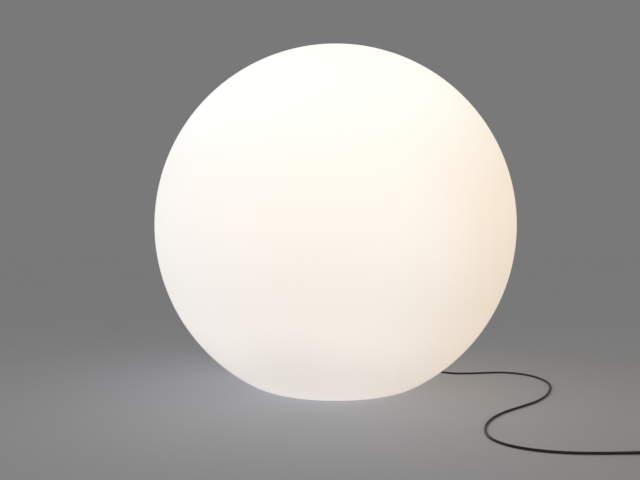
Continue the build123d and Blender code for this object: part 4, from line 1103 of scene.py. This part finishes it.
def plug_body():
    """The plug's moulded body, with grips at its sides and room for the hard face."""
    neck, floor = PLUG_NECK - PLUG_NECK_ROUNDING, PLUG_LENGTH - PLUG_FACE_DEPTH
    profile = [(0.0, 0.0), (neck, 0.0)]
    profile += arc((neck, PLUG_NECK_ROUNDING), PLUG_NECK_ROUNDING, start=-80, end=-10, steps=4)
    profile += PLUG_SHOULDER
    profile += [(PLUG_RADIUS, PLUG_LENGTH - PLUG_RIM_START)]
    profile += arc(
        (PLUG_RADIUS - PLUG_RIM_ROUNDING, PLUG_LENGTH - PLUG_RIM_ROUNDING),
        PLUG_RIM_ROUNDING, start=5, end=90, steps=4,
    )
    profile += [
        (PLUG_RADIUS - PLUG_RIM_WIDTH, PLUG_LENGTH),
        (PLUG_RADIUS - PLUG_RIM_WIDTH, floor),
        (0.0, floor),
    ]
    body = lathe("plug_grip", profile, PLUG_STEPS)
    carve(body, plug_cuts())
    tidy(body)
    bevel(body, PLUG_EDGE_ROUNDING)
    settle(body, plug_place(PLUG_SLEEVE_LENGTH))
    smooth(body)
    return body


def plug_pins():
    """The plug's two contact pins, with rounded tips."""
    pins = []
    for side in (-1, 1):
        tip = arc(
            (PIN_RADIUS - PIN_ROUNDING, PIN_LENGTH - PIN_ROUNDING),
            PIN_ROUNDING, start=0, end=90, steps=5,
        )
        pin = lathe(
            "pin", [(0.0, 0.0), (PIN_RADIUS, 0.0)] + tip + [(0.0, PIN_LENGTH)], PIN_STEPS
        )
        settle(pin, Matrix.Translation((side * PIN_PITCH / 2, 0, 0)))
        pins.append(pin)
    pins = unite("plug_contacts", pins)
    tidy(pins)
    settle(pins, plug_place(PLUG_SLEEVE_LENGTH + PLUG_LENGTH - PLUG_FACE_DEPTH))
    smooth(pins)
    return pins


class GLOBE_OT_plug(bpy.types.Operator):
    """Mould the plug: tapered sleeve, body with grips, and pins"""

    bl_idname = "globe_light.plug"
    bl_label = "Plug"

    def execute(self, context):
        finishes = context.scene.globe_finishes
        sleeve = plug_sleeve()
        body = plug_body()
        moulded(
            "plug_moulding", finishes.rubber, roughness=0.46, grain=1800, depth=0.00006, shade=0.8
        ).dress(sleeve, body)
        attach(sleeve, "globe")
        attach(body, "globe")
        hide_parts("plug_boot")
        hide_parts("plug_body")

        pins = plug_pins()
        metal(
            "pin_nickel", color=(0.72, 0.71, 0.69), roughness=0.22, stretch=(1, 1, 12)
        ).dress(pins)
        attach(pins, "globe")
        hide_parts("plug_pins")
        return {"FINISHED"}


# --------------------
# Finishes of the pieces that keep their solid's shape
# --------------------


class GLOBE_OT_underside(bpy.types.Operator):
    """Finish the base cover, its gasket and screws, and the cable gland"""

    bl_idname = "globe_light.underside"
    bl_label = "Underside"

    def execute(self, context):
        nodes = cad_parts
        finishes = context.scene.globe_finishes
        moulded(
            "cover_grained", color=(0.045, 0.045, 0.048), roughness=0.6, grain=900, depth=0.0001
        ).dress(nodes["base_cover"])
        rubber("gasket_rubber", color=(0.03, 0.03, 0.03), roughness=0.75).dress(
            nodes["cover_gasket"], nodes["gland_washer"], nodes["gland_seal"],
            nodes["wire_grommet"],
        )
        moulded("gland_nylon", color=(0.02, 0.02, 0.021), roughness=0.38).dress(
            nodes["gland_body"], nodes["gland_nut"], nodes["gland_locknut"],
            nodes["plug_face"],
        )
        metal("stainless", color=(0.62, 0.62, 0.63), roughness=0.28).dress(
            nodes["cover_screws"], nodes["terminal_screws"], nodes["block_screws"],
            nodes["foot_screws"], nodes["foot_set_screw"], nodes["earth_screw"],
            nodes["holder_screws"],
        )
        rubber("core_sheath", finishes.rubber, roughness=0.45).dress(nodes["cord_tail"])
        return {"FINISHED"}


class GLOBE_OT_column(bpy.types.Operator):
    """Finish the column, its foot and its plug"""

    bl_idname = "globe_light.column"
    bl_label = "Column"

    def execute(self, context):
        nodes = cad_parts
        finish = Finish("column_powder_coat", color=(0.82, 0.82, 0.81), roughness=0.42)
        finish.mottle(finish.noise(scale=40), shade=0.97)
        finish.wear(finish.noise(scale=150), change=0.06)
        finish.relief(finish.noise(scale=1300), strength=0.35, distance=0.00008)
        finish.dress(nodes["column_foot"], nodes["column_tube"], nodes["column_plug"])
        return {"FINISHED"}


def earth_stripes():
    """Plastic in diagonal stripes of green and yellow."""
    green, yellow = (0.07, 0.30, 0.03), (0.72, 0.62, 0.03)
    finish = Finish("wire_green_yellow", green, roughness=0.4)
    wave = finish.nodes.new("ShaderNodeTexWave")
    wave.bands_direction = "DIAGONAL"
    wave.inputs["Scale"].default_value = 120
    finish.links.new(finish.place, wave.inputs["Vector"])
    stripes = finish.ramp(wave.outputs["Fac"], (0.48, green), (0.52, yellow))
    finish.links.new(stripes, finish.shader.inputs["Base Color"])
    return finish


class GLOBE_OT_wiring(bpy.types.Operator):
    """Finish the wires, the terminal block and the brass parts"""

    bl_idname = "globe_light.wiring"
    bl_label = "Wiring"

    def execute(self, context):
        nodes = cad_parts
        moulded("wire_brown", color=(0.10, 0.035, 0.015), roughness=0.4).dress(
            nodes["live_wires"]
        )
        moulded("wire_blue", color=(0.02, 0.07, 0.32), roughness=0.4).dress(
            nodes["neutral_wires"]
        )
        earth_stripes().dress(nodes["earth_wires"])
        moulded("block_nylon", color=(0.78, 0.76, 0.70), roughness=0.45).dress(
            nodes["terminal_block"]
        )
        metal("brass", color=(0.72, 0.52, 0.22), roughness=0.3).dress(
            nodes["thread_inserts"], nodes["terminal_sleeves"], nodes["nipple"],
            nodes["nipple_nuts"], nodes["earth_lug"], nodes["holder_terminals"],
            nodes["holder_rivets"], nodes["holder_contact"], nodes["holder_sleeve"],
        )
        return {"FINISHED"}


def porcelain():
    """Fired ceramic with a faint grain."""
    finish = Finish("porcelain", color=(0.86, 0.85, 0.80), roughness=0.5)
    finish.mottle(finish.noise(scale=300), shade=0.94)
    finish.relief(finish.noise(scale=1500), strength=0.3, distance=0.00005)
    return finish


def circuit_board():
    """Green board with darker tracks."""
    finish = Finish("circuit_board", color=(0.03, 0.16, 0.06), roughness=0.35)
    finish.mottle(finish.noise(scale=420), shade=0.6)
    finish.relief(finish.noise(scale=700), strength=0.3, distance=0.00005)
    return finish


def lit(name, color, strength):
    """Moulded plastic that shines warm white."""
    finish = moulded(name, color, roughness=0.4)
    finish.shader.inputs["Emission Color"].default_value = (1, 0.9, 0.74, 1)
    finish.shader.inputs["Emission Strength"].default_value = strength
    return finish


class GLOBE_OT_lamp(bpy.types.Operator):
    """Finish the lampholder and the bulb"""

    bl_idname = "globe_light.lamp"
    bl_label = "Lampholder and bulb"

    def execute(self, context):
        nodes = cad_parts
        moulded("holder_plastic", color=(0.84, 0.84, 0.82), roughness=0.3).dress(
            nodes["holder_dome"], nodes["holder_shell"]
        )
        porcelain().dress(nodes["holder_core"])
        rubber("seal_silicone", color=(0.35, 0.34, 0.33), roughness=0.6).dress(
            nodes["lamp_seal"]
        )
        metal("cap_nickel", color=(0.70, 0.69, 0.66), roughness=0.2).dress(
            nodes["bulb_cap"], nodes["bulb_tip"], nodes["plug_earth_clips"]
        )
        moulded("cap_insulator", color=(0.02, 0.02, 0.024), roughness=0.15).dress(
            nodes["bulb_insulator"], nodes["driver_parts"]
        )
        moulded("lamp_housing", color=(0.85, 0.85, 0.84), roughness=0.28).dress(
            nodes["bulb_housing"]
        )
        circuit_board().dress(nodes["bulb_board"], nodes["bulb_driver"])
        lit("chip_phosphor", color=(0.85, 0.62, 0.12), strength=3.0).dress(nodes["bulb_chips"])
        lit("opal_diffuser", color=(0.90, 0.89, 0.86), strength=1.6).dress(
            nodes["bulb_diffuser"]
        )
        return {"FINISHED"}


# --------------------
# Panel and registration
# --------------------

SETTINGS = {
    "globe_sizes": GlobeSizes,
    "globe_cord": CordSizes,
    "globe_finishes": Finishes,
    "globe_stage": StageSizes,
}

OPERATORS = (
    GLOBE_OT_stage,
    GLOBE_OT_coil_strap,
    GLOBE_OT_plug,
    GLOBE_OT_cord,
    GLOBE_OT_globe,
    GLOBE_OT_sleeve,
    GLOBE_OT_underside,
    GLOBE_OT_column,
    GLOBE_OT_wiring,
    GLOBE_OT_lamp,
)


class GLOBE_PT_panel(bpy.types.Panel):
    """Garden globe light"""

    bl_idname = "GLOBE_PT_panel"
    bl_label = "Garden globe light"
    bl_space_type = "VIEW_3D"
    bl_region_type = "UI"
    bl_category = "Globe light"

    def draw(self, context):
        for group in SETTINGS:
            settings = getattr(context.scene, group)
            box = self.layout.box()
            for name in settings.__annotations__:
                box.prop(settings, name)
        for operator in OPERATORS:
            self.layout.operator(operator.bl_idname)


def register():
    """Register the settings, the operators and the panel."""
    for group, settings in SETTINGS.items():
        bpy.utils.register_class(settings)
        setattr(bpy.types.Scene, group, PointerProperty(type=settings))
    for operator in OPERATORS:
        bpy.utils.register_class(operator)
    bpy.utils.register_class(GLOBE_PT_panel)


def unregister():
    """Remove the panel, the operators and the settings."""
    bpy.utils.unregister_class(GLOBE_PT_panel)
    for operator in reversed(OPERATORS):
        bpy.utils.unregister_class(operator)
    for group, settings in reversed(SETTINGS.items()):
        delattr(bpy.types.Scene, group)
        bpy.utils.unregister_class(settings)


def main():
    """Build every piece in order."""
    register()
    bpy.ops.globe_light.stage()
    bpy.ops.globe_light.coil_strap()
    bpy.ops.globe_light.plug()
    bpy.ops.globe_light.cord()
    bpy.ops.globe_light.globe()
    bpy.ops.globe_light.sleeve()
    bpy.ops.globe_light.underside()
    bpy.ops.globe_light.column()
    bpy.ops.globe_light.wiring()
    bpy.ops.globe_light.lamp()
    deselect()


if __name__ == "__main__":
    main()
